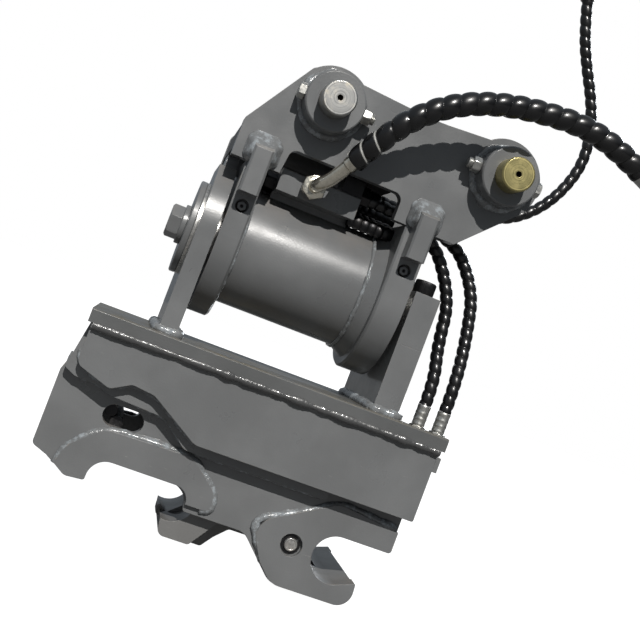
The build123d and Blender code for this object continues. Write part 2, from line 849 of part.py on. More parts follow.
# Cylinder rod with its eye and piston
with BuildPart() as jaw_rod:
    with BuildSketch(cross_plane(rod_pin_x + rod_eye_r + 3)):
        with Locations((0, cylinder_z)):
            Circle(rod_r)
    extrude(amount=rod_len - rod_eye_r - 3)
    with BuildSketch(cross_plane(rod_pin_x + rod_len)):
        with Locations((0, cylinder_z)):
            Circle(barrel_bore_r - running_gap)
    extrude(amount=20)
    with BuildSketch(front_plane(rod_eye_half)):
        with Locations((rod_pin_x, cylinder_z)):
            Circle(rod_eye_r)
        with Locations((rod_pin_x + rod_eye_r, cylinder_z)):
            Rectangle(rod_eye_r, 2 * rod_r - 2)
        with Locations((rod_pin_x, cylinder_z)):
            Circle(rod_pin_d / 2 + running_gap, mode=Mode.SUBTRACT)
    extrude(amount=2 * rod_eye_half)
jaw_rod.part.label = "jaw_rod"
export_step(jaw_rod.part, "parts/jaw_rod.step")

with BuildPart() as rod_pin:
    with BuildSketch(front_plane(26)):
        with Locations((rod_pin_x, cylinder_z)):
            Circle(rod_pin_d / 2)
    extrude(amount=52)
    chamfer(rod_pin.edges().filter_by(GeomType.CIRCLE), 1)
rod_pin.part.label = "rod_pin"
export_step(rod_pin.part, "parts/rod_pin.step")

with BuildPart() as cylinder_barrel:
    with BuildSketch(cross_plane(barrel_x0)):
        with Locations((0, cylinder_z)):
            Circle(barrel_r)
            Circle(rod_r + running_gap, mode=Mode.SUBTRACT)
    extrude(amount=gland_t)
    with BuildSketch(cross_plane(barrel_x0 + gland_t)):
        with Locations((0, cylinder_z)):
            Circle(barrel_r - 1)
            Circle(barrel_bore_r, mode=Mode.SUBTRACT)
    extrude(amount=barrel_x1 - 12 - barrel_x0 - gland_t)
    with BuildSketch(cross_plane(barrel_x1 - 12)):
        with Locations((0, cylinder_z)):
            Circle(barrel_r)
    extrude(amount=12)
    with BuildSketch(front_plane(15)):
        with Locations((clevis_pin_x - 9, cylinder_z)):
            Rectangle(18, 34)
        with Locations((clevis_pin_x, cylinder_z)):
            Circle(17)
            Circle(clevis_pin_d / 2 + running_gap, mode=Mode.SUBTRACT)
    extrude(amount=30)
cylinder_barrel.part.label = "cylinder_barrel"
export_step(cylinder_barrel.part, "parts/cylinder_barrel.step")

with BuildPart() as cylinder_pin:
    with BuildSketch(front_plane(claw_outer_y - 1)):
        with Locations((clevis_pin_x, cylinder_z)):
            Circle(clevis_pin_d / 2)
    extrude(amount=2 * (claw_outer_y - 1))
cylinder_pin.part.label = "cylinder_pin"
export_step(cylinder_pin.part, "parts/cylinder_pin.step")

# Safety latch: hub, arm over the throat and the finger that closes its mouth
with BuildPart() as latch:
    with BuildSketch(front_plane(latch_half_y)):
        draw_outline(
            (97, -396, 10),
            (97, -322, 12),
            (249, -322, 5),
            (249, -346, 8),
            (232, -346, 6),
            (226, -338, 4),
            (136, -338, 16),
            (133, -396, 10),
        )
        with Locations((latch_x, latch_z)):
            Circle(20)
            Circle(latch_pin_d / 2 + running_gap, mode=Mode.SUBTRACT)
    extrude(amount=2 * latch_half_y)
latch.part.label = "latch"
export_step(latch.part, "parts/latch.step")

with BuildPart() as latch_pin:
    with BuildSketch(front_plane(claw_outer_y + doubler_t - 2)):
        with Locations((latch_x, latch_z)):
            Circle(latch_pin_d / 2)
    extrude(amount=2 * (claw_outer_y + doubler_t - 2))
    chamfer(latch_pin.edges().filter_by(GeomType.CIRCLE), 1)
latch_pin.part.label = "latch_pin"
export_step(latch_pin.part, "parts/latch_pin.step")

with BuildPart() as snap_rings:
    for way in (-1, 1):
        with BuildSketch(front_plane(way * (claw_outer_y + 2))):
            with Locations((latch_x, latch_z)):
                Circle(latch_pin_d / 2 + 4.5)
                Circle(latch_pin_d / 2, mode=Mode.SUBTRACT)
                with Locations((8, 9)):
                    Rectangle(3, 12, rotation=-42, mode=Mode.SUBTRACT)
        extrude(amount=way * 2)
snap_rings.part.label = "snap_rings"
export_step(snap_rings.part, "parts/snap_rings.step")

# Torsion spring on the latch pin, its coils drawn as a ribbed sleeve
spring_wire = 4.0
spring_turns = 5
with BuildPart() as latch_spring:
    with BuildSketch(Plane(origin=(tilt_x + latch_x, 0, tilt_z + latch_z), x_dir=(1, 0, 0), z_dir=(0, 0, 1))):
        with Locations((latch_pin_d / 2 + 1 + spring_wire / 2, latch_half_y + 1 + spring_wire * spring_turns / 2)):
            Rectangle(spring_wire - 2, spring_wire * spring_turns - 1)
        for turn in range(spring_turns):
            with Locations((latch_pin_d / 2 + 1 + spring_wire / 2, latch_half_y + 1 + spring_wire * (turn + 0.5))):
                Circle(spring_wire / 2)
    revolve(axis=Axis((tilt_x + latch_x, 0, tilt_z + latch_z), (0, 1, 0)))
latch_spring.part.label = "latch_spring"
export_step(latch_spring.part, "parts/latch_spring.step")

# Manifold on the tube, with a saddle pad, and its hose fittings
manifold_x0 = -90.0
manifold_x1 = 35.0
manifold_z0 = 94.0
manifold_z1 = 128.0
manifold_half = 80.0
port_x = -40.0
port_z = 115.0
fitting_len = 15.0
valve_len = 32.0
valve_z1 = 154.7
fitting_y_c = -60.0
fitting_y_d = -36.0
fitting_z_c = 132.8
fitting_z_d = 142.0
with BuildPart() as manifold_block:
    with BuildSketch(cross_plane(manifold_x0)):
        with Locations((0, (manifold_z0 + manifold_z1) / 2)):
            Rectangle(2 * manifold_half, manifold_z1 - manifold_z0)
        with Locations((0, 88)):
            Rectangle(70, 16)
        Circle(tube_r, mode=Mode.SUBTRACT)
    extrude(amount=manifold_x1 - manifold_x0)
    chamfer(manifold_block.edges().filter_by(Axis.X).group_by(Axis.Z)[-1], 1.5)
manifold_block.part.label = "manifold_block"
export_step(manifold_block.part, "parts/manifold_block.step")

# Hose routes, each a list of points from the fitting outwards, in the part's frame
big_hose_points = [
    (-222, -150, -67),
    (-203, -174, -31),
    (-177, -192, 7),
    (-142, -199, 40),
    (-98, -200, 65.5),
    (-50, -200, 82),
    (3, -200, 92),
    (56, -200, 97),
    (114, -199, 90),
    (168, -195, 70),
]
mid_hose_points = [
    (-222, 150, -67),
    (-196, 173, -43),
    (-158, 192, -24),
    (-106, 205, -16),
    (-42, 210, -12.5),
    (24, 210, -11),
    (88, 208, -6),
    (141, 205, 11.5),
    (187, 205, 51),
    (218, 205, 104),
    (233, 205, 160),
    (226, 205, 218),
    (205, 205, 272),
    (176, 205, 322),
    (148, 205, 378),
    (131, 205, 437),
]
fitting_end = tilt_x + manifold_x1 + fitting_len
small_hose_c_points = [
    (fitting_end, fitting_y_c, tilt_z + fitting_z_c),
    (-65.5, fitting_y_c, tilt_z + fitting_z_c),
    (3, -72, -186),
    (8, -87, -268),
    (tilt_x + ferrule_x_c, ferrule_y, -316),
    (tilt_x + ferrule_x_c, ferrule_y, tilt_z + ferrule_top_z),
]
small_hose_d_points = [
    (fitting_end, fitting_y_d, tilt_z + fitting_z_d),
    (-26, fitting_y_d, tilt_z + fitting_z_d),
    (36, -61, -160),
    (48, -80, -238),
    (tilt_x + ferrule_x_d, ferrule_y, -312),
    (tilt_x + ferrule_x_d, ferrule_y, tilt_z + ferrule_top_z),
]


def arc_radii(points):
    """Arc radius at each inner point: 0.45 of the shorter run over the tangent of half the turn."""
    radii = []
    for before, here, after in zip(points, points[1:], points[2:]):
        run_in = Vector(here) - Vector(before)
        run_out = Vector(after) - Vector(here)
        turn = radians(run_in.get_angle(run_out))
        radii.append(0.45 * min(run_in.length, run_out.length) / tan(turn / 2))
    return radii


elbow_r = 9.0
elbow_lead = 24.0
port_nut_len = 10.0
for side_name, way, points in (("front", -1, big_hose_points), ("rear", 1, mid_hose_points)):
    hose_start = Vector(points[0])
    hose_way = (Vector(points[1]) - hose_start).normalized()
    elbow_points = [
        Vector(tilt_x + port_x, way * manifold_half, tilt_z + port_z),
        Vector(tilt_x + port_x, way * (manifold_half + 32), tilt_z + port_z),
        hose_start - hose_way * elbow_lead,
        hose_start,
    ]
    with BuildPart() as elbow:
        with BuildLine() as elbow_path:
            FilletPolyline(*elbow_points, radius=arc_radii(elbow_points))
        with BuildSketch(Plane(elbow_path.line @ 0, z_dir=elbow_path.line % 0)):
            Circle(elbow_r)
        sweep()
        for step, across_flats in ((0, 30), (1, 34)):
            with BuildSketch(front_plane(way * (manifold_half + 1.2 * step * port_nut_len))):
                with Locations((port_x, port_z)):
                    RegularPolygon(across_flats / 2, 6, major_radius=False)
            extrude(amount=-way * port_nut_len)
    elbow.part.label = f"elbow_{side_name}"
    export_step(elbow.part, f"parts/elbow_{side_name}.step")


def make_hose(points, diameter):
    """Round hose along straight runs joined by tangent arcs."""
    radii = arc_radii(points)
    with BuildPart() as hose:
        with BuildLine() as route:
            FilletPolyline(*points, radius=radii)
        with BuildSketch(Plane(route.line @ 0, z_dir=route.line % 0)):
            Circle(diameter / 2)
        sweep()
    length = route.wire().length
    ideal = pi * diameter**2 / 4 * length
    print(f"hose length {length:.0f} mm, smallest radius {min(radii):.0f} mm, volume ratio {hose.part.volume / ideal:.4f}")
    return hose.part


def aligned_plane(points, at_end):
    """Plane square to a route at its first or last point, facing along the route."""
    if at_end:
        return Plane(points[-1], z_dir=Vector(*points[-1]) - Vector(*points[-2]))
    return Plane(points[0], z_dir=Vector(*points[0]) - Vector(*points[1]))


def make_hose_end(points, diameter):
    """Crimped ferrule, hexagon nut and stub at the free end of a hose."""
    end = aligned_plane(points, True)
    with BuildPart() as hose_end:
        with BuildSketch(end):
            Circle(diameter / 2 + 2)
        extrude(amount=32)
        with BuildSketch(end.offset(32)):
            RegularPolygon(diameter / 2 + 3, 6, major_radius=False)
            Circle(diameter / 4, mode=Mode.SUBTRACT)
        extrude(amount=20)
    return hose_end.part


with BuildPart() as hose_front:
    add(make_hose(big_hose_points, hose_big_d))
hose_front.part.label = "hose_front"
export_step(hose_front.part, "parts/hose_front.step")

with BuildPart() as hose_front_end:
    add(make_hose_end(big_hose_points, hose_big_d))
hose_front_end.part.label = "hose_front_end"
export_step(hose_front_end.part, "parts/hose_front_end.step")

with BuildPart() as hose_rear:
    add(make_hose(mid_hose_points, hose_mid_d))
hose_rear.part.label = "hose_rear"
export_step(hose_rear.part, "parts/hose_rear.step")

with BuildPart() as hose_rear_end:
    add(make_hose_end(mid_hose_points, hose_mid_d))
hose_rear_end.part.label = "hose_rear_end"
export_step(hose_rear_end.part, "parts/hose_rear_end.step")

with BuildPart() as lock_hose_inner:
    add(make_hose(small_hose_c_points, hose_small_d))
lock_hose_inner.part.label = "lock_hose_inner"
export_step(lock_hose_inner.part, "parts/lock_hose_inner.step")

with BuildPart() as lock_hose_outer:
    add(make_hose(small_hose_d_points, hose_small_d))
lock_hose_outer.part.label = "lock_hose_outer"
export_step(lock_hose_outer.part, "parts/lock_hose_outer.step")

# Check valve on the manifold's top with its two outlet adapters, for the lock hoses
with BuildPart() as manifold_fittings:
    with BuildSketch(level_plane(manifold_z1 + seat_gap)):
        with Locations((manifold_x1 - valve_len / 2, (fitting_y_c + fitting_y_d) / 2)):
            Rectangle(valve_len, 54)
    extrude(amount=valve_z1 - manifold_z1 - seat_gap)
    chamfer(manifold_fittings.edges().group_by(Axis.Z)[-1], 1)
    with BuildSketch(cross_plane(manifold_x1)):
        with Locations((fitting_y_c, fitting_z_c), (fitting_y_d, fitting_z_d)):
            RegularPolygon(11, 6, major_radius=False)
    extrude(amount=fitting_len)
manifold_fittings.part.label = "manifold_fittings"
export_step(manifold_fittings.part, "parts/manifold_fittings.step")

ferrule_z0 = ferrule_top_z - ferrule_len
port_block_z0 = -215.0
port_block_z1 = -192.0
port_block_x0 = 216.0
port_block_x1 = 280.0
port_block_y1 = -88.0
with BuildPart() as hose_ferrules:
    for hose_x in (ferrule_x_c, ferrule_x_d):
        with BuildSketch(level_plane(ferrule_z0)):
            with Locations((hose_x, ferrule_y)):
                Circle(ferrule_r)
        extrude(amount=ferrule_len - seat_gap)
hose_ferrules.part.label = "hose_ferrules"
export_step(hose_ferrules.part, "parts/hose_ferrules.step")

with BuildPart() as port_adapters:
    for hose_x in (ferrule_x_c, ferrule_x_d):
        with BuildSketch(level_plane(port_block_z1)):
            with Locations((hose_x, ferrule_y)):
                RegularPolygon(11, 6, major_radius=False)
        extrude(amount=ferrule_z0 - port_block_z1)
port_adapters.part.label = "port_adapters"
export_step(port_adapters.part, "parts/port_adapters.step")

with BuildPart() as port_block:
    with BuildSketch(level_plane(port_block_z0)):
        with Locations(((port_block_x0 + port_block_x1) / 2, (port_block_y1 - spacer_outer_y) / 2)):
            Rectangle(port_block_x1 - port_block_x0, port_block_y1 + spacer_outer_y)
    extrude(amount=port_block_z1 - port_block_z0)
port_block.part.label = "port_block"
export_step(port_block.part, "parts/port_block.step")
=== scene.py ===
import json
import bpy
import bmesh
from math import cos, floor, pi, radians, sin, tan
from mathutils import Matrix, Vector, noise


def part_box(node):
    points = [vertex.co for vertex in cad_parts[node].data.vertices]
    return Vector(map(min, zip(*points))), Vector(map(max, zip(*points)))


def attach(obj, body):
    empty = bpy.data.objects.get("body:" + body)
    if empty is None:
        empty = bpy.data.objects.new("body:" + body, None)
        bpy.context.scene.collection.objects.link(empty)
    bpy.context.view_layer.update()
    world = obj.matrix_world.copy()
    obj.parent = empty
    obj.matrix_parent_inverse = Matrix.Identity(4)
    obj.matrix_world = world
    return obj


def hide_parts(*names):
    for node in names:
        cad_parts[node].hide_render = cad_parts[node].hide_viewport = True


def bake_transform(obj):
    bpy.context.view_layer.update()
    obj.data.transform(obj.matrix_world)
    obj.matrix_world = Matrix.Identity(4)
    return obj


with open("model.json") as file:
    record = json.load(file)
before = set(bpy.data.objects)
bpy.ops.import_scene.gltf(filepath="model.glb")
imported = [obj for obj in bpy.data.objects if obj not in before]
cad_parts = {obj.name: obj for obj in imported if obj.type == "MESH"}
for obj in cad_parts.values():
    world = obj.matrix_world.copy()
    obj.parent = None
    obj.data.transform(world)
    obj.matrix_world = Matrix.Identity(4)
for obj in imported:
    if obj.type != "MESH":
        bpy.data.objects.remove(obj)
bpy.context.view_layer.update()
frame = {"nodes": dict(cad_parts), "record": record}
nodes = frame["nodes"]
slotOf = {part["node"]: part["material_slot"] for part in frame["record"]["subparts"]}
print("frame loaded with", len(nodes), "nodes")

# Most places below are given from the tilt axis, in millimetres as in the part's source
tiltCentre = Vector((-216, 0, -230))


def fromAxis(x, y, z):
    return (Vector((x, y, z)) + tiltCentre) / 1000


def metres(points):
    return [Vector(point) / 1000 for point in points]


# Camera at the photograph's angle: it looks a little up and is rolled, so the coupler hangs aslant
cameraSetup = {
    "place": (-0.446, -1.585, -0.332),
    "right": (0.9182, -0.1748, 0.3556),
    "up": (-0.3543, 0.0396, 0.9343),
    "back": (-0.1774, -0.9838, -0.0256),
    "lens": 57.77,
}
cameraData = bpy.data.cameras.new("camera")
cameraData.lens = cameraSetup["lens"]
cameraData.sensor_width = 36
camera = bpy.data.objects.new("camera", cameraData)
turn = Matrix([cameraSetup["right"], cameraSetup["up"], cameraSetup["back"]]).transposed().to_4x4()
camera.matrix_world = Matrix.Translation(cameraSetup["place"]) @ turn
bpy.context.collection.objects.link(camera)
bpy.context.scene.camera = camera
bpy.context.scene.view_settings.view_transform = "Standard"


# Node helpers for the materials

def startMaterial(name):
    material = bpy.data.materials.new(name)
    material.use_nodes = True
    tree = material.node_tree
    shader = tree.nodes["Principled BSDF"]
    place = tree.nodes.new("ShaderNodeTexCoord").outputs["Object"]
    return material, tree, shader, place


def addNoise(tree, place, scale, detail=4, rough=0.55, stretch=None):
    if stretch:
        mapping = tree.nodes.new("ShaderNodeMapping")
        mapping.inputs["Scale"].default_value = stretch
        tree.links.new(place, mapping.inputs["Vector"])
        place = mapping.outputs["Vector"]
    texture = tree.nodes.new("ShaderNodeTexNoise")
    texture.inputs["Scale"].default_value = scale
    texture.inputs["Detail"].default_value = detail
    texture.inputs["Roughness"].default_value = rough
    tree.links.new(place, texture.inputs["Vector"])
    return texture.outputs["Fac"]


def addRange(tree, value, low, high, toLow=0.0, toHigh=1.0):
    ramp = tree.nodes.new("ShaderNodeMapRange")
    ramp.interpolation_type = "SMOOTHSTEP"
    for socket, number in (("From Min", low), ("From Max", high), ("To Min", toLow), ("To Max", toHigh)):
        ramp.inputs[socket].default_value = number
    tree.links.new(value, ramp.inputs["Value"])
    return ramp.outputs["Result"]


def addMath(tree, operation, first, second):
    node = tree.nodes.new("ShaderNodeMath")
    node.operation = operation
    for socket, value in zip(node.inputs, (first, second)):
        if isinstance(value, (int, float)):
            socket.default_value = value
        else:
            tree.links.new(value, socket)
    return node.outputs[0]


def addMix(tree, amount, first, second):
    node = tree.nodes.new("ShaderNodeMix")
    node.data_type = "RGBA"
    for socketName, value in (("Factor", amount), ("A", first), ("B", second)):
        socket = node.inputs[socketName]
        if isinstance(value, (int, float)):
            socket.default_value = value
        elif isinstance(value, (tuple, list)):
            socket.default_value = (*value, 1)
        else:
            tree.links.new(value, socket)
    return node.outputs["Result"]


def addEdgeMask(tree, radius, low, high):
    # 0 on a flat, 1 at an outside or inside edge within the radius
    rounded = tree.nodes.new("ShaderNodeBevel")
    rounded.samples = 6
    rounded.inputs["Radius"].default_value = radius
    geometry = tree.nodes.new("ShaderNodeNewGeometry")
    dot = tree.nodes.new("ShaderNodeVectorMath")
    dot.operation = "DOT_PRODUCT"
    tree.links.new(rounded.outputs["Normal"], dot.inputs[0])
    tree.links.new(geometry.outputs["Normal"], dot.inputs[1])
    return addRange(tree, addMath(tree, "SUBTRACT", 1.0, dot.outputs["Value"]), low, high)


def addBump(tree, shader, height, strength, distance, radius):
    rounded = tree.nodes.new("ShaderNodeBevel")
    rounded.samples = 6
    rounded.inputs["Radius"].default_value = radius
    bump = tree.nodes.new("ShaderNodeBump")
    bump.inputs["Strength"].default_value = strength
    bump.inputs["Distance"].default_value = distance
    tree.links.new(height, bump.inputs["Height"])
    tree.links.new(rounded.outputs["Normal"], bump.inputs["Normal"])
    tree.links.new(bump.outputs["Normal"], shader.inputs["Normal"])


def upwardMask(tree, low, high):
    coordinates = tree.nodes.new("ShaderNodeTexCoord")
    split = tree.nodes.new("ShaderNodeSeparateXYZ")
    tree.links.new(coordinates.outputs["Normal"], split.inputs[0])
    return addRange(tree, split.outputs["Z"], low, high)


def makePaint(name, tone, dusty=0.2, scuffed=0.5, rough=0.34, lumps=0.2, worn=(0.30, 0.22, 0.14), paintedShadeBelow=None,
              dustTone=(0.26, 0.21, 0.16), coat=0.4, paintedSheen=None):
    # Satin sprayed paint: soft tone patches, orange peel, dust that settles on top, worn corners.
    # Where one is given, faces that look down take a painted shade tone, and patches take a painted sheen
    # tone
    material, tree, shader, place = startMaterial(name)
    darker = tuple(channel * 0.84 for channel in tone)
    patches = addRange(tree, addNoise(tree, place, 9, 5), 0.35, 0.68)
    colour = addMix(tree, patches, darker, tone)
    settled = addRange(tree, addNoise(tree, place, 24, 6, 0.65), 0.3, 0.72)
    dustPlace = addMath(tree, "MULTIPLY", upwardMask(tree, 0.35, 0.95), settled)
    colour = addMix(tree, addMath(tree, "MULTIPLY", dustPlace, dusty), colour, dustTone)
    # Painted shade: faces that look down darken to the given tone
    if paintedShadeBelow:
        colour = addMix(tree, upwardMask(tree, -0.9, -0.4), paintedShadeBelow, colour)
    # Painted sheen: lighter patches like highlights on glossy weld
    if paintedSheen:
        colour = addMix(tree, addRange(tree, addNoise(tree, place, 85, 7, 0.72), 0.46, 0.62), colour, paintedSheen)
    edge = addEdgeMask(tree, 0.0022, 0.06, 0.34)
    chipped = addRange(tree, addNoise(tree, place, 70, 6, 0.7), 0.5, 0.66)
    wear = addMath(tree, "MULTIPLY", addMath(tree, "MULTIPLY", edge, chipped), scuffed)
    colour = addMix(tree, wear, colour, worn)
    scratch = addRange(tree, addNoise(tree, place, 34, 8, 0.75, (1, 1, 9)), 0.63, 0.72)
    colour = addMix(tree, addMath(tree, "MULTIPLY", scratch, 0.16), colour, (0.5, 0.49, 0.46))
    tree.links.new(colour, shader.inputs["Base Color"])
    spread = addRange(tree, addNoise(tree, place, 16, 4), 0.3, 0.75, rough - 0.07, rough + 0.1)
    roughness = addMath(tree, "ADD", spread, addMath(tree, "MULTIPLY", dustPlace, 0.3 * dusty))
    roughness = addMath(tree, "ADD", roughness, addMath(tree, "MULTIPLY", wear, 0.2))
    tree.links.new(roughness, shader.inputs["Roughness"])
    shader.inputs["Specular IOR Level"].default_value = 0.5
    shader.inputs["Coat Weight"].default_value = coat
    shader.inputs["Coat Roughness"].default_value = 0.09
    addBump(tree, shader, addNoise(tree, place, 420, 3), lumps, 0.0006, 0.0011)
    return material


def makeMetal(name, tone, rough=0.34, stained=0.3, stain=(0.2, 0.16, 0.11), bump=0.1):
    # Machined or plated steel: fine grain and stains in patches
    material, tree, shader, place = startMaterial(name)
    shader.inputs["Metallic"].default_value = 0.92
    fine = addNoise(tree, place, 260, 4, 0.6)
    colour = addMix(tree, addRange(tree, fine, 0.3, 0.7), tuple(channel * 0.8 for channel in tone), tone)
    blotches = addRange(tree, addNoise(tree, place, 32, 6, 0.65), 0.48, 0.72)
    patches = addMath(tree, "MULTIPLY", blotches, stained)
    colour = addMix(tree, patches, colour, stain)
    tree.links.new(colour, shader.inputs["Base Color"])
    tree.links.new(addMath(tree, "ADD", addRange(tree, fine, 0.3, 0.7, rough - 0.06, rough + 0.08),
                           addMath(tree, "MULTIPLY", patches, 0.3)), shader.inputs["Roughness"])
    addBump(tree, shader, fine, bump, 0.0003, 0.0006)
    return material


def makeTurnedEnd(name, tone, x, z, stained, stain, holeRadius):
    # Pin turned in a lathe: rings round its axis, soft stains, and painted shade that darkens the centre hole
    material, tree, shader, place = startMaterial(name)
    shader.inputs["Metallic"].default_value = 0.9
    offset = tree.nodes.new("ShaderNodeVectorMath")
    offset.operation = "SUBTRACT"
    tree.links.new(place, offset.inputs[0])
    offset.inputs[1].default_value = fromAxis(x, 0, z)
    flat = tree.nodes.new("ShaderNodeVectorMath")
    flat.operation = "MULTIPLY"
    tree.links.new(offset.outputs["Vector"], flat.inputs[0])
    flat.inputs[1].default_value = (1, 0, 1)
    length = tree.nodes.new("ShaderNodeVectorMath")
    length.operation = "LENGTH"
    tree.links.new(flat.outputs["Vector"], length.inputs[0])
    rings = tree.nodes.new("ShaderNodeTexNoise")
    rings.noise_dimensions = "1D"
    rings.inputs["Scale"].default_value = 620
    rings.inputs["Detail"].default_value = 3
    tree.links.new(length.outputs["Value"], rings.inputs["W"])
    grain = addRange(tree, rings.outputs["Fac"], 0.3, 0.7)
    colour = addMix(tree, grain, tuple(channel * 0.74 for channel in tone), tone)
    blotches = addRange(tree, addNoise(tree, place, 55, 6, 0.68), 0.47, 0.7)
    patches = addMath(tree, "MULTIPLY", blotches, stained)
    colour = addMix(tree, patches, colour, stain)
    # Painted shade: near black inside the centre hole
    hole = addRange(tree, length.outputs["Value"], holeRadius * 0.86, holeRadius * 1.04, 1, 0)
    colour = addMix(tree, hole, colour, (0.02, 0.015, 0.01))
    tree.links.new(colour, shader.inputs["Base Color"])
    spread = addMath(tree, "MULTIPLY", grain, 0.1)
    spread = addMath(tree, "ADD", spread, addMath(tree, "MULTIPLY", patches, 0.25))
    tree.links.new(addMath(tree, "ADD", spread, 0.28), shader.inputs["Roughness"])
    addBump(tree, shader, rings.outputs["Fac"], 0.12, 0.0003, 0.0008)
    return material


def makeGuardPlastic(name, jointTone, jointShare, paleTone=(0.42, 0.42, 0.4)):
    # Black spiral wrap: joint is 1 along the wrap's edges, pale where the first edges show bright
    material, tree, shader, place = startMaterial(name)
    joint = tree.nodes.new("ShaderNodeAttribute")
    joint.attribute_name = "joint"
    pale = tree.nodes.new("ShaderNodeAttribute")
    pale.attribute_name = "pale"
    scuffs = addRange(tree, addNoise(tree, place, 95, 6, 0.7), 0.55, 0.8)
    scuffed = addMath(tree, "MULTIPLY", scuffs, 0.2)
    colour = addMix(tree, scuffed, (0.003, 0.003, 0.0035), (0.02, 0.019, 0.018))
    colour = addMix(tree, addMath(tree, "MULTIPLY", joint.outputs["Fac"], jointShare), colour, jointTone)
    colour = addMix(tree, pale.outputs["Fac"], colour, paleTone)
    tree.links.new(colour, shader.inputs["Base Color"])
    roughness = addRange(tree, addNoise(tree, place, 45, 4), 0.3, 0.7, 0.24, 0.36)
    tree.links.new(roughness, shader.inputs["Roughness"])
    shader.inputs["Coat Weight"].default_value = 0.12
    shader.inputs["Coat Roughness"].default_value = 0.08
    addBump(tree, shader, addNoise(tree, place, 300, 4), 0.06, 0.0004, 0.0003)
    return material


def makeRubber(name, tone=(0.02, 0.02, 0.02)):
    material, tree, shader, place = startMaterial(name)
    speckle = addRange(tree, addNoise(tree, place, 180, 4), 0.35, 0.7)
    paler = tuple(channel * 2.2 for channel in tone)
    tree.links.new(addMix(tree, speckle, tone, paler), shader.inputs["Base Color"])
    shader.inputs["Roughness"].default_value = 0.7
    addBump(tree, shader, addNoise(tree, place, 300, 3), 0.15, 0.0004, 0.0004)
    return material


pinPlaces = {"link": -62, "arm": 216}
pinLevel = 230
paintTone = (0.122, 0.126, 0.129)
finish = {
    "grey_paint": makePaint("greyPaint", paintTone),
    "topPaint": makePaint("dustyTopPaint", (0.084, 0.087, 0.088), dusty=0.85, scuffed=1.0,
                          worn=(0.34, 0.22, 0.12), dustTone=(0.1, 0.08, 0.045)),
    "clawPaint": makePaint("clawPaint", paintTone, dusty=0.3, scuffed=0.8, worn=(0.34, 0.25, 0.16)),
    # Weld paint: its lighter bluish patches are painted sheen
    "weldPaint": makePaint("weldPaint", (0.14, 0.146, 0.15), dusty=0.05, scuffed=0.2, rough=0.16, lumps=1.0,
                           paintedSheen=(0.22, 0.24, 0.255)),
    # Near-black paint for the bead under the top plate's edge: painted shade of a weld that faces down
    "shadedEdgeWeldPaint": makePaint("shadedEdgeWeldPaint", (0.055, 0.056, 0.057), dusty=0.05, scuffed=0.1, rough=0.3,
                               lumps=1.0),
    # Plates deep between the ears: faces that look down go near black, painted shade
    "shadedPaint": makePaint("shadedPaint", paintTone, scuffed=0, rough=0.75, coat=0,
                             paintedShadeBelow=(0.012, 0.01, 0.008)),
    "worn_seat": makePaint("wornSeat", (0.14, 0.14, 0.138), dusty=0.1, scuffed=1.0, rough=0.36,
                           worn=(0.4, 0.38, 0.34)),
    "bare_steel": makeMetal("turnedSteel", (0.62, 0.61, 0.59), 0.3, 0.35),
    "zinc": makeMetal("zincPlate", (0.48, 0.48, 0.46), 0.34, 0.25, (0.3, 0.27, 0.21)),
    "yellow_zinc": makeMetal("yellowZinc", (0.66, 0.54, 0.27), 0.28, 0.4, (0.3, 0.22, 0.1)),
    "paleTube": makeMetal("paleTube", (0.74, 0.7, 0.6), 0.17, 0.3, (0.5, 0.42, 0.28), bump=0.02),
    "black_oxide": makeMetal("blackOxide", (0.035, 0.035, 0.037), 0.38, 0.2, (0.08, 0.07, 0.06)),
    "bronze": makeMetal("bronze", (0.52, 0.36, 0.17), 0.35, 0.3),
    "linkPin": makeTurnedEnd("linkPinSteel", (0.4, 0.4, 0.39), pinPlaces["link"], pinLevel, 0.7,
                             (0.3, 0.27, 0.21), 0.0042),
    "armPin": makeTurnedEnd("armPinBrass", (0.42, 0.37, 0.17), pinPlaces["arm"], pinLevel, 0.6,
                            (0.26, 0.22, 0.1), 0.0046),
    "hose_guard": makeGuardPlastic("spiralGuard", (0.004, 0.004, 0.004), 1.0),
    "seal_rubber": makeRubber("sealRubber"),
    # Near-black disc for the port screws' recesses: painted shade
    "recessShade": makeRubber("recessShade", (0.012, 0.01, 0.009)),
}
for nodeName, node in nodes.items():
    node.material_slots[0].material = finish[slotOf[nodeName]]
ownFinish = {
    "topPaint": ["top_plate"],
    # Manifold fittings: black as painted shade, for fittings deep in shade inside the window
    "black_oxide": ["manifold_fittings"],
    "shadedPaint": ["bridge_plate", "ear_end_plate", "ear_plate_rear"],
    "clawPaint": ["claw_plate_front", "claw_plate_rear", "claw_doublers"],
}
for finishName, nodeNames in ownFinish.items():
    for nodeName in nodeNames:
        nodes[nodeName].material_slots[0].material = finish[finishName]
print("materials made:", len(finish))


# Mesh helpers

def finishPiece(name, bm, material, body, replaced=(), sharp=35, merge=0.000002):
    if merge:
        bmesh.ops.remove_doubles(bm, verts=bm.verts, dist=merge)
    bmesh.ops.recalc_face_normals(bm, faces=bm.faces)
    limit = radians(sharp)
    for face in bm.faces:
        face.smooth = True
    for edge in bm.edges:
        edge.smooth = len(edge.link_faces) == 2 and edge.calc_face_angle(0) < limit
    mesh = bpy.data.meshes.new(name)
    bm.to_mesh(mesh)
    bm.free()
    mesh.materials.append(material)
    piece = bpy.data.objects.new(name, mesh)
    bpy.context.collection.objects.link(piece)
    if body:
        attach(piece, body)
    if replaced:
        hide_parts(*replaced)
    return piece


def aimed(centre, axis):
    # Matrix that takes local z to the axis and the local origin to the centre
    turned = Vector((0, 0, 1)).rotation_difference(Vector(axis))
    return Matrix.Translation(centre) @ turned.to_matrix().to_4x4()


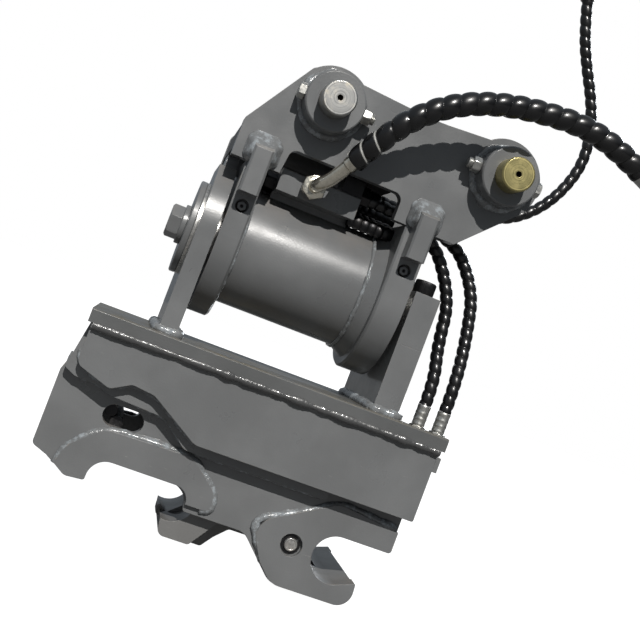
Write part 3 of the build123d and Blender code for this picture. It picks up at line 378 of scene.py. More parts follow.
def turnProfile(bm, profile, centre, axis, sides=48):
    # profile holds (radius, height) pairs in millimetres, spun round the axis
    start = [bm.verts.new((radius / 1000, 0, height / 1000)) for radius, height in profile]
    lines = [bm.edges.new(pair) for pair in zip(start, start[1:])]
    before = set(bm.verts) - set(start)
    bmesh.ops.spin(bm, geom=start + lines, cent=(0, 0, 0), axis=(0, 0, 1), angle=2 * pi, steps=sides,
                   use_merge=True)
    made = [vert for vert in bm.verts if vert not in before]
    bmesh.ops.transform(bm, matrix=aimed(centre, axis), verts=made)


def bothEnds(end, middle=()):
    # Profile of a turned pin: one end, the middle, then the same end mirrored
    return [(radius, -height) for radius, height in end] + list(middle) + list(reversed(end))


def hexagonRadius(angle, acrossFlats):
    return acrossFlats / 2 / cos((angle % (pi / 3)) - pi / 6)


def vertsIn(items):
    return [item for item in items if isinstance(item, bmesh.types.BMVert)]


def loftRings(bm, rings, closeEnds=True):
    # One ring of vertices pulled through the rings' points, edge loop by edge loop
    current = bmesh.ops.create_circle(bm, segments=len(rings[0]), radius=1)["verts"]
    for vert, point in zip(current, rings[0]):
        vert.co = point
    if closeEnds:
        bm.faces.new(current)
    for ring in rings[1:]:
        loop = [edgeBetween(first, second) for first, second in zip(current, current[1:] + current[:1])]
        fresh = set(vertsIn(bmesh.ops.extrude_edge_only(bm, edges=loop)["geom"]))
        current = [next(edge.other_vert(vert) for edge in vert.link_edges if edge.other_vert(vert) in fresh)
                   for vert in current]
        for vert, point in zip(current, ring):
            vert.co = point
    if closeEnds:
        bm.faces.new(current)
    return current


def edgeBetween(first, second):
    return next(edge for edge in first.link_edges if edge.other_vert(first) == second)


def hexagonPiece(bm, centre, axis, acrossFlats, height, bore=0.0, twist=0.0, chamferBottom=True, sides=72):
    # Hexagon with its corners turned off at 30 degrees, as on a bolt head or nut, in millimetres
    turned = acrossFlats / 2 * 0.97
    rise = (acrossFlats / 2 / cos(pi / 6) - turned) * tan(radians(30))
    levels = [0, rise * 0.35, rise * 0.7, rise * 1.05]
    heights = (levels if chamferBottom else [0]) + [height - level for level in reversed(levels)]
    matrix = aimed(centre, axis)
    rings = []
    for level in heights:
        reach = turned + (height - level) / tan(radians(30))
        if chamferBottom:
            reach = min(reach, turned + level / tan(radians(30)))
        ring = []
        for step in range(sides):
            angle = 2 * pi * step / sides
            radius = min(hexagonRadius(angle + twist, acrossFlats), reach) / 1000
            ring.append(matrix @ Vector((radius * cos(angle), radius * sin(angle), level / 1000)))
        rings.append(ring)
    if bore:
        angles = [2 * pi * step / sides for step in range(sides)]
        inner = [[matrix @ (Vector((bore * cos(angle), bore * sin(angle), level)) / 1000) for angle in angles]
                 for level in (height, height - 0.6, 0.6, 0)]
        rings = [inner[-1]] + rings + inner
        loftRings(bm, rings, closeEnds=False)
    else:
        loftRings(bm, rings)


def smoothRoute(name, points, closed=False):
    # NURBS curve with the route's points as its control points
    curve = bpy.data.curves.new(name, "CURVE")
    curve.dimensions = "3D"
    curve.resolution_u = 16
    spline = curve.splines.new("NURBS")
    spline.points.add(len(points) - 1)
    for point, place in zip(spline.points, points):
        point.co = (*place, 1)
    spline.order_u = 3
    spline.use_cyclic_u = closed
    spline.use_endpoint_u = not closed
    return bpy.data.objects.new(name, curve)


def readRoute(route, spacing, closed=False):
    # Evenly spaced points along a curve that has no bevel
    mesh = bpy.data.meshes.new_from_object(route)
    line = [vert.co.copy() for vert in mesh.vertices]
    if closed:
        line.append(line[0].copy())
    bpy.data.meshes.remove(mesh)
    bpy.data.objects.remove(route)
    lengths = [0.0]
    for first, second in zip(line, line[1:]):
        lengths.append(lengths[-1] + (second - first).length)
    count = max(8, round(lengths[-1] / spacing))
    points, index = [], 0
    for step in range(count if closed else count + 1):
        wanted = lengths[-1] * step / count
        while index < len(line) - 2 and lengths[index + 1] < wanted:
            index += 1
        share = (wanted - lengths[index]) / max(lengths[index + 1] - lengths[index], 1e-9)
        points.append(line[index].lerp(line[index + 1], share))
    return points, lengths[-1]


def routeFrames(points, closed=False):
    # Position, side and upright vectors at each point, without twist
    frames = []
    count = len(points)
    side = None
    for index, point in enumerate(points):
        before = points[index - 1] if index or closed else point
        after = points[(index + 1) % count] if index < count - 1 or closed else point
        ahead = (after - before).normalized()
        if side is None:
            side = ahead.cross(Vector((0, 0, 1)) if abs(ahead.z) < 0.9 else Vector((1, 0, 0))).normalized()
        side = (side - ahead * side.dot(ahead)).normalized()
        frames.append((point, side, ahead.cross(side)))
    return frames


def sweepTube(bm, frames, radiusAt, sides=20, closeEnds=True):
    # radiusAt(index, angle) is in metres
    rings = []
    for index, (point, side, upright) in enumerate(frames):
        ring = []
        for step in range(sides):
            angle = 2 * pi * step / sides
            ring.append(point + (side * cos(angle) + upright * sin(angle)) * radiusAt(index, angle))
        rings.append(ring)
    return loftRings(bm, rings, closeEnds)


# Hoses with their spiral guards. The points are the route's, as in the part's source, in millimetres
hoseSetup = {
    "frontHose": {
        "points": [(-222, -150, -67), (-203, -174, -31), (-177, -192, 7), (-142, -199, 40), (-98, -200, 65.5),
                   (-50, -200, 82), (3, -200, 92), (56, -200, 97), (114, -199, 90), (168, -195, 70)],
        "diameter": 34, "pitch": 24.5, "paleStart": 0.064, "length": 0.469, "end": "connector",
        "replaced": "hose_front", "with": ["hose_front_end"], "sides": 28, "step": 0.0011,
    },
    "rearHose": {
        "points": [(-222, 150, -67), (-196, 173, -43), (-158, 192, -24), (-106, 205, -16), (-42, 210, -12.5),
                   (24, 210, -11), (88, 208, -6), (141, 205, 11.5), (187, 205, 51), (218, 205, 104),
                   (233, 205, 160), (226, 205, 218), (205, 205, 272), (176, 205, 322), (148, 205, 378),
                   (131, 205, 437)],
        "diameter": 21, "pitch": 19, "length": 0.868, "end": "connector",
        "replaced": "hose_rear", "with": ["hose_rear_end"], "sides": 24, "step": 0.0012,
    },
    "innerLockHose": {
        "points": [(-166, -60, -97.2), (-65.5, -60, -97.2), (3, -72, -186), (8, -87, -268),
                   (16.5, -104, -316), (16.5, -104, -356)],
        "diameter": 20, "pitch": 15.5, "length": 0.379, "end": "object",
        "replaced": "lock_hose_inner", "with": [], "sides": 22, "step": 0.001,
    },
    "outerLockHose": {
        "points": [(-166, -36, -88), (-26, -36, -88), (36, -61, -160), (48, -80, -238), (49.5, -104, -312),
                   (49.5, -104, -356)],
        "diameter": 20, "pitch": 15.5, "length": 0.433, "end": "object",
        "replaced": "lock_hose_outer", "with": [], "sides": 22, "step": 0.001,
    },
}

# The guard's bands bulge between their joints; a phase runs from 0 to 1 over one turn of the wrap
guardSetup = {"depth": 0.2, "roundness": 0.6, "jointFall": 14, "paleAt": 0.93, "paleFall": 16,
              "blendFrom": 0.3}


def makeGuardedHose(name, setup):
    radius = setup["diameter"] / 2000
    pitch = setup["pitch"] / 1000
    points, length = readRoute(smoothRoute(name + "Route", metres(setup["points"])), setup["step"])
    frames = routeFrames(points)
    spacing = length / (len(points) - 1)

    def wrapPhase(index, angle):
        turns = index * spacing / pitch + angle / (2 * pi)
        return turns - floor(turns)

    def wrapRadius(index, angle):
        phase = wrapPhase(index, angle)
        # 0 at the joint, 1 along the band's middle
        crown = (1 - (2 * phase - 1) ** 2) ** guardSetup["roundness"]
        return radius * (1 - guardSetup["depth"] + guardSetup["depth"] * crown)

    bm = bmesh.new()
    sweepTube(bm, frames, wrapRadius, setup["sides"])
    bm.verts.ensure_lookup_table()
    sides = setup["sides"]
    phases = [wrapPhase(index // sides, 2 * pi * (index % sides) / sides) for index in range(len(bm.verts))]
    joint = [max(0.0, 1 - min(phase, 1 - phase) * guardSetup["jointFall"]) for phase in phases]
    paleEnd = setup.get("paleStart", 0.0)
    pale = [max(0.0, 1 - abs(phase - guardSetup["paleAt"]) * guardSetup["paleFall"])
            if index // sides * spacing < paleEnd else 0.0 for index, phase in enumerate(phases)]
    lock = setup["end"] == "object"
    piece = finishPiece(name, bm, finish["hose_guard"], None if lock else "bracket",
                        (setup["replaced"],), merge=0)
    for attributeName, values in (("joint", joint), ("pale", pale)):
        attribute = piece.data.attributes.new(attributeName, "FLOAT", "POINT")
        for index, value in enumerate(values[:len(attribute.data)]):
            attribute.data[index].value = value
    if lock:
        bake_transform(piece)
    return piece


for hoseName, setup in hoseSetup.items():
    makeGuardedHose(hoseName, setup)
print("hoses made")


# Weld beads: rippled, glossy under the paint, a little uneven in width
beadSetup = {"ripple": 0.035, "rippleLength": 0.007, "uneven": 0.42, "unevenScale": 55, "step": 0.002,
             "sides": 10}


def makeBeads(name, body, runs, beadFinish="weldPaint"):
    # runs holds (points from the tilt centre, radius in mm, closed) for one node's welds
    bm = bmesh.new()
    for points, radius, closed in runs:
        route = smoothRoute(name + "Route", [fromAxis(*point) for point in points], closed)
        line, length = readRoute(route, beadSetup["step"], closed)
        frames = routeFrames(line, closed)

        def beadRadius(index, angle):
            along = index * length / len(line)
            phase = 2 * pi * along / beadSetup["rippleLength"] + 0.8 * cos(angle)
            wave = 1 + beadSetup["ripple"] * sin(phase)
            swell = beadSetup["uneven"] * noise.noise(line[index] * beadSetup["unevenScale"])
            return radius / 1000 * (wave + swell)

        if closed:
            frames.append(frames[0])
        sweepTube(bm, frames, lambda index, angle: beadRadius(index % len(line), angle), beadSetup["sides"],
                  not closed)
    return finishPiece(name, bm, finish[beadFinish], body, sharp=80)


def circlePoints(x, y, z, radius, axis="y", count=16):
    turns = [2 * pi * step / count for step in range(count)]
    if axis == "y":
        return [(x + radius * cos(angle), y, z + radius * sin(angle)) for angle in turns]
    return [(x, y + radius * cos(angle), z + radius * sin(angle)) for angle in turns]


def rectanglePoints(x0, x1, y0, y1, z, step=26):
    # Corner points with others along the sides, so that the curve stays near the corners
    points = []
    corners = [(x0, y0), (x1, y0), (x1, y1), (x0, y1)]
    for (ax, ay), (bx, by) in zip(corners, corners[1:] + corners[:1]):
        count = max(2, round((abs(bx - ax) + abs(by - ay)) / step))
        points += [(ax + (bx - ax) * part / count, ay + (by - ay) * part / count, z) for part in range(count)]
    return points


bossWeld = {"face": 119, "radius": 46, "bead": 7}
bossRuns = [(circlePoints(x, way * bossWeld["face"], pinLevel, bossWeld["radius"]), bossWeld["bead"], True)
            for x in pinPlaces.values() for way in (-1, 1)]
makeBeads("bossWelds", "bracket", bossRuns)

plateWelds = {
    "rearDoubler": {
        "y": 103, "bead": 6.4,
        "points": [(-246, -386), (-243, -366), (-228, -345), (-206, -324), (-180, -315), (-130, -314),
                   (-80, -313), (-58, -319), (-34, -338), (-17, -355), (-15, -372), (-18, -380), (-30, -383)],
    },
    "throatDoubler": {
        "y": 103, "bead": 6.4,
        "points": [(84, -424), (66, -398), (54, -378), (58, -364), (90, -350), (130, -328), (158, -309),
                   (180, -306), (220, -311), (258, -316)],
    },
    "spacerStep": {
        "y": 103, "bead": 3.6,
        "points": [(-276, -230), (-280, -250), (-264, -259), (-232, -260), (-206, -269), (-165, -271),
                   (-122, -274), (-100, -290), (-84, -305), (-50, -308), (20, -308), (100, -308),
                   (134, -307)],
    },
    "sideStep": {
        "y": 123, "bead": 4.6,
        "points": [(-267, -222), (-266, -238), (-240, -250), (-212, -258), (-198, -250), (-184, -244),
                   (-150, -247), (-110, -270), (-74, -293)],
    },
}
clawRuns = [([(x, way * weld["y"], z) for x, z in weld["points"]], weld["bead"], False)
            for way in (-1, 1) for weld in plateWelds.values()]
makeBeads("clawWelds", "tilt_frame", clawRuns)

# The bead under the top plate's edge is painted dark as shade
edgeWeld = {"xFirst": -264, "xLast": 266, "step": 53, "y": 146, "z": -183, "bead": 6.2}
edgeRun = range(edgeWeld["xFirst"], edgeWeld["xLast"] + 1, edgeWeld["step"])
edgeRuns = [([(x, way * edgeWeld["y"], edgeWeld["z"]) for x in edgeRun], edgeWeld["bead"], False)
            for way in (-1, 1)]
makeBeads("edgeWelds", "tilt_frame", edgeRuns, "shadedEdgeWeldPaint")

footWeld = {"feet": ((-181.5, -147.5, -117, 117), (152.5, 199.5, -114, 114)), "z": -156.5, "bead": 7.5}
footRuns = [(rectanglePoints(*foot, footWeld["z"]), footWeld["bead"], True) for foot in footWeld["feet"]]
makeBeads("footWelds", "tilt_frame", footRuns)

tubeWeld = {"places": (-111.5, 84), "radius": 92.5, "bead": 3.2, "points": 24}
tubeRuns = [(circlePoints(x, 0, 0, tubeWeld["radius"], "x", tubeWeld["points"]), tubeWeld["bead"], True)
            for x in tubeWeld["places"]]
makeBeads("tubeWelds", "bracket", tubeRuns)

# Flared fillets that join the lugs to the ear plates
lugSetup = {"left": (-145, -116), "right": (113.5, 142.5), "flare": 14, "earFace": 117.5, "lugFace": 142,
            "earHeights": (108, 117, 148, 160), "lugHeights": (119, 134.5), "rounding": 0.004,
            "longEdge": 0.006, "uneven": 0.0012, "unevenScale": 90}
flare, ear, lug = lugSetup["flare"], lugSetup["earFace"], lugSetup["lugFace"]
bottom, low, high, top = lugSetup["earHeights"]
lugLow, lugHigh = lugSetup["lugHeights"]
bm = bmesh.new()
for x0, x1 in (lugSetup["left"], lugSetup["right"]):
    for way in (-1, 1):
        corners = [(x0 - flare, ear, low), (x0 - flare, ear, high), (x0 - 3, ear, top), (x1 + 3, ear, top),
                   (x1 + flare, ear, high), (x1 + flare, ear, low), (x0 - 1.5, lug, lugLow),
                   (x0 - 1, lug, lugHigh), (x1 + 1, lug, lugHigh), (x1 + 1.5, lug, lugLow),
                   (x0 - 2, ear, bottom), (x1 + 2, ear, bottom)]
        made = [bm.verts.new(fromAxis(x, way * y, z)) for x, y, z in corners]
        hull = bmesh.ops.convex_hull(bm, input=made)
        bmesh.ops.delete(bm, geom=vertsIn(hull["geom_interior"]), context="VERTS")
corners = [edge for edge in bm.edges if edge.calc_face_angle(0) > 0.2]
bmesh.ops.bevel(bm, geom=corners, offset=lugSetup["rounding"], segments=3, profile=0.5, affect="EDGES",
                material=-1, clamp_overlap=True)
longEdges = [edge for edge in bm.edges if edge.calc_length() > lugSetup["longEdge"]]
bmesh.ops.subdivide_edges(bm, edges=longEdges, cuts=2, use_grid_fill=True)
for vert in bm.verts:
    vert.co += vert.normal * noise.noise(vert.co * lugSetup["unevenScale"]) * lugSetup["uneven"]
finishPiece("lugFillets", bm, finish["weldPaint"], "bracket", sharp=70)
print("welds made")


# Pins with turned ends and a centre hole
pinSetup = {"radius": 25, "half": 188, "chamfer": 1.6, "centreHole": 4.4, "holeDepth": 9}
for pinName, x in pinPlaces.items():
    r, h, hole = pinSetup["radius"], pinSetup["half"], pinSetup["centreHole"]
    deep, chamfer = pinSetup["holeDepth"], pinSetup["chamfer"]
    end = [(0, h - deep), (hole * 0.4, h - deep + 1), (hole * 0.55, h - 2.4), (hole, h),
           (r * 0.62, h + 0.05), (r - chamfer, h), (r, h - chamfer)]
    profile = bothEnds(end, [(r, 0)])
    bm = bmesh.new()
    turnProfile(bm, profile, fromAxis(x, 0, pinLevel), (0, 1, 0), 64)
    finishPiece(pinName + "PinTurned", bm, finish[pinName + "Pin"], "bracket", (pinName + "_pin",))

# Retaining bolts: chamfered heads and nuts, threaded tails
boltSetup = {"across": 21, "head": 10, "nut": 13, "tail": 7, "core": 6.9, "crest": 8, "pitch": 2,
             "nutBore": 8.2, "bossRadius": 44, "y": -138}


def threadProfile(start, end, core, crest, pitch):
    # Crests and roots along a threaded length, ending in a small chamfer
    profile = []
    height = start
    while height + pitch <= end - 1:
        profile += [(core, height), (crest, height + pitch * 0.5)]
        height += pitch
    return profile + [(core, height), (core, end - 0.6), (core - 1.6, end), (0, end)]


bolts, nuts = bmesh.new(), bmesh.new()
for x, way in ((pinPlaces["link"], 1), (pinPlaces["arm"], -1)):
    reach = boltSetup["bossRadius"]
    y = boltSetup["y"]
    head, nut = fromAxis(x - way * reach, y, pinLevel), fromAxis(x + way * reach, y, pinLevel)
    hexagonPiece(bolts, head, (-way, 0, 0), boltSetup["across"], boltSetup["head"], chamferBottom=False)
    thread = threadProfile(2 * reach + 1, 2 * reach + boltSetup["nut"] + boltSetup["tail"],
                           boltSetup["core"], boltSetup["crest"], boltSetup["pitch"])
    shank = [(0, 0), (boltSetup["crest"], 0), (boltSetup["crest"], 2 * reach)]
    turnProfile(bolts, shank + thread, head, (way, 0, 0), 24)
    hexagonPiece(nuts, nut, (way, 0, 0), boltSetup["across"], boltSetup["nut"], bore=boltSetup["nutBore"],
                 twist=0.3)
finishPiece("retainingBoltsTurned", bolts, finish["zinc"], "bracket", ("retaining_bolts",))
finishPiece("retainingNutsTurned", nuts, finish["zinc"], "bracket", ("retaining_nuts",))

# Tie bolt and washer at the left end
tieSetup = {"face": -200, "across": 46, "head": 19, "shank": 15, "reach": 40, "washer": 30.7, "thick": 8}
bm = bmesh.new()
tieFace = fromAxis(tieSetup["face"], 0, 0)
hexagonPiece(bm, tieFace, (-1, 0, 0), tieSetup["across"], tieSetup["head"], twist=0.25, chamferBottom=False)
shank, reach = tieSetup["shank"], tieSetup["reach"]
turnProfile(bm, [(0, -1), (shank, -1), (shank, reach), (0, reach)], tieFace, (1, 0, 0), 32)
finishPiece("tieBoltTurned", bm, finish["grey_paint"], "tilt_frame", ("tie_bolt",))
bm = bmesh.new()
rim, thick, bore = tieSetup["washer"], tieSetup["thick"], shank + 0.3
profile = [(bore, 0), (bore, thick), (rim - 1.1, thick), (rim, thick - 1), (rim, 0.8), (rim - 0.8, 0),
           (bore, 0)]
turnProfile(bm, profile, fromAxis(tieSetup["face"] + thick, 0, 0), (-1, 0, 0), 64)
finishPiece("tieWasherTurned", bm, finish["grey_paint"], "tilt_frame", ("tie_washer",))

# Socket screws of the bearing cap: ribbed heads with a hexagon socket
capSetup = {"x": 176, "y": 74, "seat": 27.5, "height": 22, "radius": 16.5, "ribDepth": 0.5, "ribs": 40,
            "socket": 17, "socketDepth": 11, "shank": 11, "length": 108}
bm = bmesh.new()
for way in (-1, 1):
    centre = fromAxis(capSetup["x"], way * capSetup["y"], capSetup["seat"])
    top, count = capSetup["height"], capSetup["ribs"] * 4
    rim, shank, floorAt = capSetup["radius"], capSetup["shank"], top - capSetup["socketDepth"]
    outline = [(shank, -capSetup["length"], 0), (shank, 0.2, 0), (rim - 0.9, 0.2, 0), (rim - 0.1, 1, 1),
               (rim, top - 2.4, 1), (rim - 0.5, top - 1, 0.4), (rim - 1.5, top, 0), (10.6, top, 0)]
    angles = [2 * pi * step / count for step in range(count)]
    rings = []
    for radius, height, ribbed in outline:
        depths = [ribbed * (capSetup["ribDepth"] if step % 4 < 2 else 0) for step in range(count)]
        rings.append([centre + Vector((cos(angle), sin(angle), 0)) * (radius - depth) / 1000 +
                      Vector((0, 0, height / 1000)) for angle, depth in zip(angles, depths)])
    for height, share in ((top - 1.2, 1), (floorAt, 1), (floorAt, 0.02)):
        rings.append([centre + Vector((cos(angle), sin(angle), 0)) * share *
                      hexagonRadius(angle, capSetup["socket"]) / 1000 + Vector((0, 0, height / 1000))
                      for angle in angles])
    loftRings(bm, rings)
finishPiece("capScrewsRibbed", bm, finish["black_oxide"], "tilt_frame", ("cap_screws",),
            sharp=50)

# Port screws sunk in the flanges: a pale hexagon plug in a near-black ring, painted shade of the recess
portSetup = {"z": 48, "seat": 108.3, "ring": 8.5, "ringHeight": 2.2, "plug": 12.5, "plugHeight": 5.4,
             "plugLift": 2, "socket": 2.6}
lowest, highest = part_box("port_screws")
screwX = [round(lowest.x * 1000 - tiltCentre.x + portSetup["ring"]),
          round(highest.x * 1000 - tiltCentre.x - portSetup["ring"])]
plugs, rims = bmesh.new(), bmesh.new()
ring, tall = portSetup["ring"], portSetup["ringHeight"]
for x in screwX:
    for way in (-1, 1):
        seat = fromAxis(x, way * portSetup["seat"], portSetup["z"])
        turnProfile(rims, [(0, 0), (ring, 0), (ring, tall), (0, tall)], seat, (0, way, 0), 40)
        plugSeat = seat + Vector((0, way * portSetup["plugLift"] / 1000, 0))
        hexagonPiece(plugs, plugSeat, (0, way, 0), portSetup["plug"], portSetup["plugHeight"],
                     bore=portSetup["socket"], twist=0.4, chamferBottom=False)
finishPiece("portScrewRims", rims, finish["recessShade"], "bracket", ("port_screws",))
finishPiece("portScrewPlugs", plugs, finish["grey_paint"], "bracket")

# Hose elbows: drawn tube with an upset collar, two chamfered nuts each
elbowSetup = {"port": (-40, 80, 115), "straight": 32, "lead": 24, "tube": 10.2, "collar": 1.6,
              "collarPlaces": (0.003, 0.015), "step": 0.0016, "nuts": ((30, 0), (34, 12)), "nutLength": 10}
for side, way, hoseName in (("front", -1, "frontHose"), ("rear", 1, "rearHose")):
    start, after = metres(hoseSetup[hoseName]["points"][:2])
    away = (after - start).normalized()
    x, y, z = elbowSetup["port"]
    port = fromAxis(x, way * y, z)
    bend = fromAxis(x, way * (y + elbowSetup["straight"]), z)
    last = start - away * elbowSetup["lead"] / 1000
    sag = Vector((0.0015, 0, -0.002))
    controls = [port, port.lerp(bend, 0.72), bend.lerp(last, 0.12), bend.lerp(last, 0.5) + sag,
                last.lerp(bend, 0.06), last + away * 0.008, start + away * 0.004]
    route = smoothRoute(side + "ElbowRoute", controls)
    line, length = readRoute(route, elbowSetup["step"])
    frames = routeFrames(line)
    bm = bmesh.new()

    def elbowRadius(index, angle):
        left = length - index * length / (len(line) - 1)
        near, far = elbowSetup["collarPlaces"]
        return (elbowSetup["tube"] + (elbowSetup["collar"] if near < left < far else 0)) / 1000

    sweepTube(bm, frames, elbowRadius, 28)
    for across, lift in elbowSetup["nuts"]:
        hexagonPiece(bm, fromAxis(x, way * (y + lift), z), (0, way, 0), across, elbowSetup["nutLength"],
                     twist=0.3 + lift * 0.02)
    finishPiece(side + "ElbowDrawn", bm, finish["paleTube"], "bracket", ("elbow_" + side,),
                sharp=40)

# Ribbed lines and plugs behind the manifold and the claw plate's slot, black as painted shade: dark stand-ins
# that fill gaps lying in deep shade
innerSetup = {
    "bracket": {
        "lines": [((30, -50, 97), (112, -50, 97)), ((30, -24, 104), (112, -24, 104)),
                  ((30, 6, 122), (112, 6, 122)), ((46, -48, 137), (112, -48, 137)),
                  ((30, 52, 132), (112, 52, 132)), ((30, 34, 108), (112, 34, 108))],
        "plugs": [(-90, -22, 108), (-90, 22, 110)], "crest": 11.5,
    },
    "tilt_frame": {
        "lines": [((-198, -82, -292), (-198, 82, -292)), ((-185, -82, -307), (-185, 82, -307))],
        "plugs": [], "crest": 9.4,
    },
}
ribSetup = {"pitch": 12, "rise": 2, "top": 9, "fall": 11, "drop": 1.5, "core": 9.5, "endCore": 9}
plugSetup = {"across": 30, "height": 16}
for bodyName, setup in innerSetup.items():
    bm = bmesh.new()
    for start, end in setup["lines"]:
        away = (Vector(end) - Vector(start)).normalized()
        reach = (Vector(end) - Vector(start)).length
        crest, core = setup["crest"], ribSetup["endCore"]
        rib = [(0, 0), (ribSetup["core"], 0)]
        for step in range(int(reach // ribSetup["pitch"])):
            base = step * ribSetup["pitch"]
            rib += [(crest, base + ribSetup["rise"]), (crest, base + ribSetup["top"]),
                    (crest - ribSetup["drop"], base + ribSetup["fall"])]
        turnProfile(bm, rib + [(core, reach), (0, reach)], fromAxis(*start), away, 28)
    for place in setup["plugs"]:
        hexagonPiece(bm, fromAxis(*place), (-1, 0, 0), plugSetup["across"], plugSetup["height"], twist=0.2,
                     chamferBottom=False)
    # Their black finish is painted shade
    finishPiece("innerLines" + bodyName.split("_")[0].title(), bm, finish["black_oxide"], bodyName,
                sharp=50)

# Lock hose ferrules: crimped sleeves, with shouldered adapters under them
ferruleSetup = {"places": (232.5, 265.5), "y": -104, "low": -158, "high": -126.3, "radius": 10.2,
                "waist": 9.8, "bore": 6, "crimps": 3, "crimpPitch": 8.6}
bm = bmesh.new()
low, tall = ferruleSetup["low"], ferruleSetup["high"] - ferruleSetup["low"]
full, waist, bore = ferruleSetup["radius"], ferruleSetup["waist"], ferruleSetup["bore"]
profile = [(bore, 0), (waist - 0.4, 0), (waist, 1)]
for crimp in range(ferruleSetup["crimps"]):
    base = 3 + crimp * ferruleSetup["crimpPitch"]
    profile += [(full, base), (waist, base + 1.2), (waist, base + 6), (full, base + 7.2)]
profile += [(full, tall - 1.2), (full - 0.5, tall), (bore, tall)]
for x in ferruleSetup["places"]:
    turnProfile(bm, profile, fromAxis(x, ferruleSetup["y"], low), (0, 0, 1), 40)
finishPiece("ferrulesCrimped", bm, finish["zinc"], "tilt_frame", ("hose_ferrules",))

adapterSetup = {"nutAcross": 22, "nutHeight": 12, "nutLow": -170, "stem": 8, "stemHeight": 22,
                "stemLow": -192, "footAcross": 20, "footHeight": 10, "footLow": -191.8}
bm = bmesh.new()
stem, tall = adapterSetup["stem"], adapterSetup["stemHeight"]
for x in ferruleSetup["places"]:
    nutSeat, stemSeat, footSeat = [fromAxis(x, ferruleSetup["y"], adapterSetup[level])
                                   for level in ("nutLow", "stemLow", "footLow")]
    hexagonPiece(bm, nutSeat, (0, 0, 1), adapterSetup["nutAcross"], adapterSetup["nutHeight"], twist=0.35)
    turnProfile(bm, [(0, 0), (stem, 0), (stem, tall), (0, tall)], stemSeat, (0, 0, 1), 28)
    hexagonPiece(bm, footSeat, (0, 0, 1), adapterSetup["footAcross"], adapterSetup["footHeight"], twist=0.1)
finishPiece("adaptersTurned", bm, finish["zinc"], "tilt_frame", ("port_adapters",))

# Latch pin in the doublers' recess, with dished end faces and a groove near each end
latchSetup = {"x": 115, "z": -387, "radius": 10, "half": 108, "dish": 7, "groove": (5, 2.5),
              "grooveDepth": 0.8}
bm = bmesh.new()
half, radius, dish = latchSetup["half"], latchSetup["radius"], latchSetup["dish"]
far, near = latchSetup["groove"]
root = radius - latchSetup["grooveDepth"]
end = [(0, half - 0.6), (dish, half - 0.6), (dish + 0.6, half), (radius - 1, half), (radius, half - 1),
       (radius, half - near + 0.1), (root, half - near), (root, half - far), (radius, half - far - 0.1)]
turnProfile(bm, bothEnds(end), fromAxis(latchSetup["x"], 0, latchSetup["z"]), (0, 1, 0), 40)
finishPiece("latchPinTurned", bm, finish["bare_steel"], "tilt_frame", ("latch_pin",))

# Torsion spring round the latch pin: a coil of round wire
springSetup = {"radius": 13, "wire": 2, "turns": 5, "start": 15.5, "pitch": 4.1, "perTurn": 12,
               "step": 0.0012}
coil = []
for step in range(springSetup["turns"] * springSetup["perTurn"] + 1):
    angle = 2 * pi * step / springSetup["perTurn"]
    coil.append((latchSetup["x"] + springSetup["radius"] * cos(angle),
                 springSetup["start"] + springSetup["pitch"] * step / springSetup["perTurn"],
                 latchSetup["z"] + springSetup["radius"] * sin(angle)))
route = smoothRoute("springRoute", [fromAxis(*point) for point in coil])
line, length = readRoute(route, springSetup["step"])
bm = bmesh.new()
sweepTube(bm, routeFrames(line), lambda index, angle: springSetup["wire"] / 1000, 10)
finishPiece("latchSpringCoil", bm, finish["bare_steel"], "tilt_frame", ("latch_spring",))
print("fasteners and fittings made")


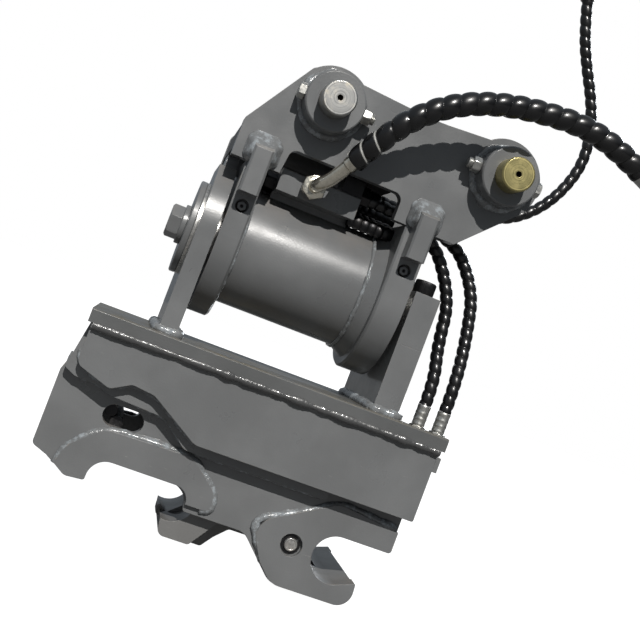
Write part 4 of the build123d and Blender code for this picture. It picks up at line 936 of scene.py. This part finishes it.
# Hard sunlight from the front and above, a soft sky above, dark ground below, and a white backdrop
lampSetup = {
    "sun": {"toward": (-0.03, -0.77, 0.64), "spread": 0.6, "power": 4.7, "tone": (1, 0.97, 0.93)},
    "rim": {"toward": (0.5, 0.85, 0.4), "spread": 12, "power": 0.8, "tone": (0.9, 0.95, 1)},
}
for lampName, setup in lampSetup.items():
    lampData = bpy.data.lights.new(lampName, "SUN")
    lampData.angle = radians(setup["spread"])
    lampData.energy = setup["power"]
    lampData.color = setup["tone"]
    lamp = bpy.data.objects.new(lampName, lampData)
    lamp.location = Vector(setup["toward"]) * 3
    lamp.rotation_euler = (-Vector(setup["toward"])).to_track_quat("-Z", "Y").to_euler()
    bpy.context.collection.objects.link(lamp)

skySetup = {"low": -0.3, "high": 0.5, "ground": 0.05, "sky": 0.34, "tone": (0.82, 0.91, 1)}
world = bpy.data.worlds.new("studio")
bpy.context.scene.world = world
world.use_nodes = True
worldTree = world.node_tree
background = worldTree.nodes["Background"]
outward = worldTree.nodes.new("ShaderNodeTexCoord").outputs["Generated"]
height = worldTree.nodes.new("ShaderNodeVectorMath")
height.operation = "DOT_PRODUCT"
worldTree.links.new(outward, height.inputs[0])
height.inputs[1].default_value = cameraSetup["up"]
daylight = addRange(worldTree, height.outputs["Value"], skySetup["low"], skySetup["high"],
                    skySetup["ground"], skySetup["sky"])
path = worldTree.nodes.new("ShaderNodeLightPath")
seen = addMath(worldTree, "MAXIMUM", path.outputs["Is Camera Ray"], path.outputs["Is Transmission Ray"])
worldTree.links.new(addMix(worldTree, seen, skySetup["tone"], (1, 1, 1)), background.inputs["Color"])
worldTree.links.new(addMath(worldTree, "MAXIMUM", seen, daylight), background.inputs["Strength"])

# Floor under the claw that the camera sees as white
floorSetup = {"level": -0.7, "size": 30, "tone": 0.14}
bm = bmesh.new()
bmesh.ops.create_grid(bm, x_segments=1, y_segments=1, size=floorSetup["size"])
bmesh.ops.translate(bm, vec=(0, 0, floorSetup["level"]), verts=bm.verts)
floorMesh = bpy.data.meshes.new("floor")
bm.to_mesh(floorMesh)
bm.free()
floorPiece = bpy.data.objects.new("floor", floorMesh)
bpy.context.collection.objects.link(floorPiece)
floorMaterial, tree, shader, place = startMaterial("paleFloor")
shader.inputs["Base Color"].default_value = (*[floorSetup["tone"]] * 3, 1)
shader.inputs["Roughness"].default_value = 0.9
path = tree.nodes.new("ShaderNodeLightPath")
shader.inputs["Emission Color"].default_value = (1, 1, 1, 1)
tree.links.new(path.outputs["Is Camera Ray"], shader.inputs["Emission Strength"])
floorMesh.materials.append(floorMaterial)
print("stage set")
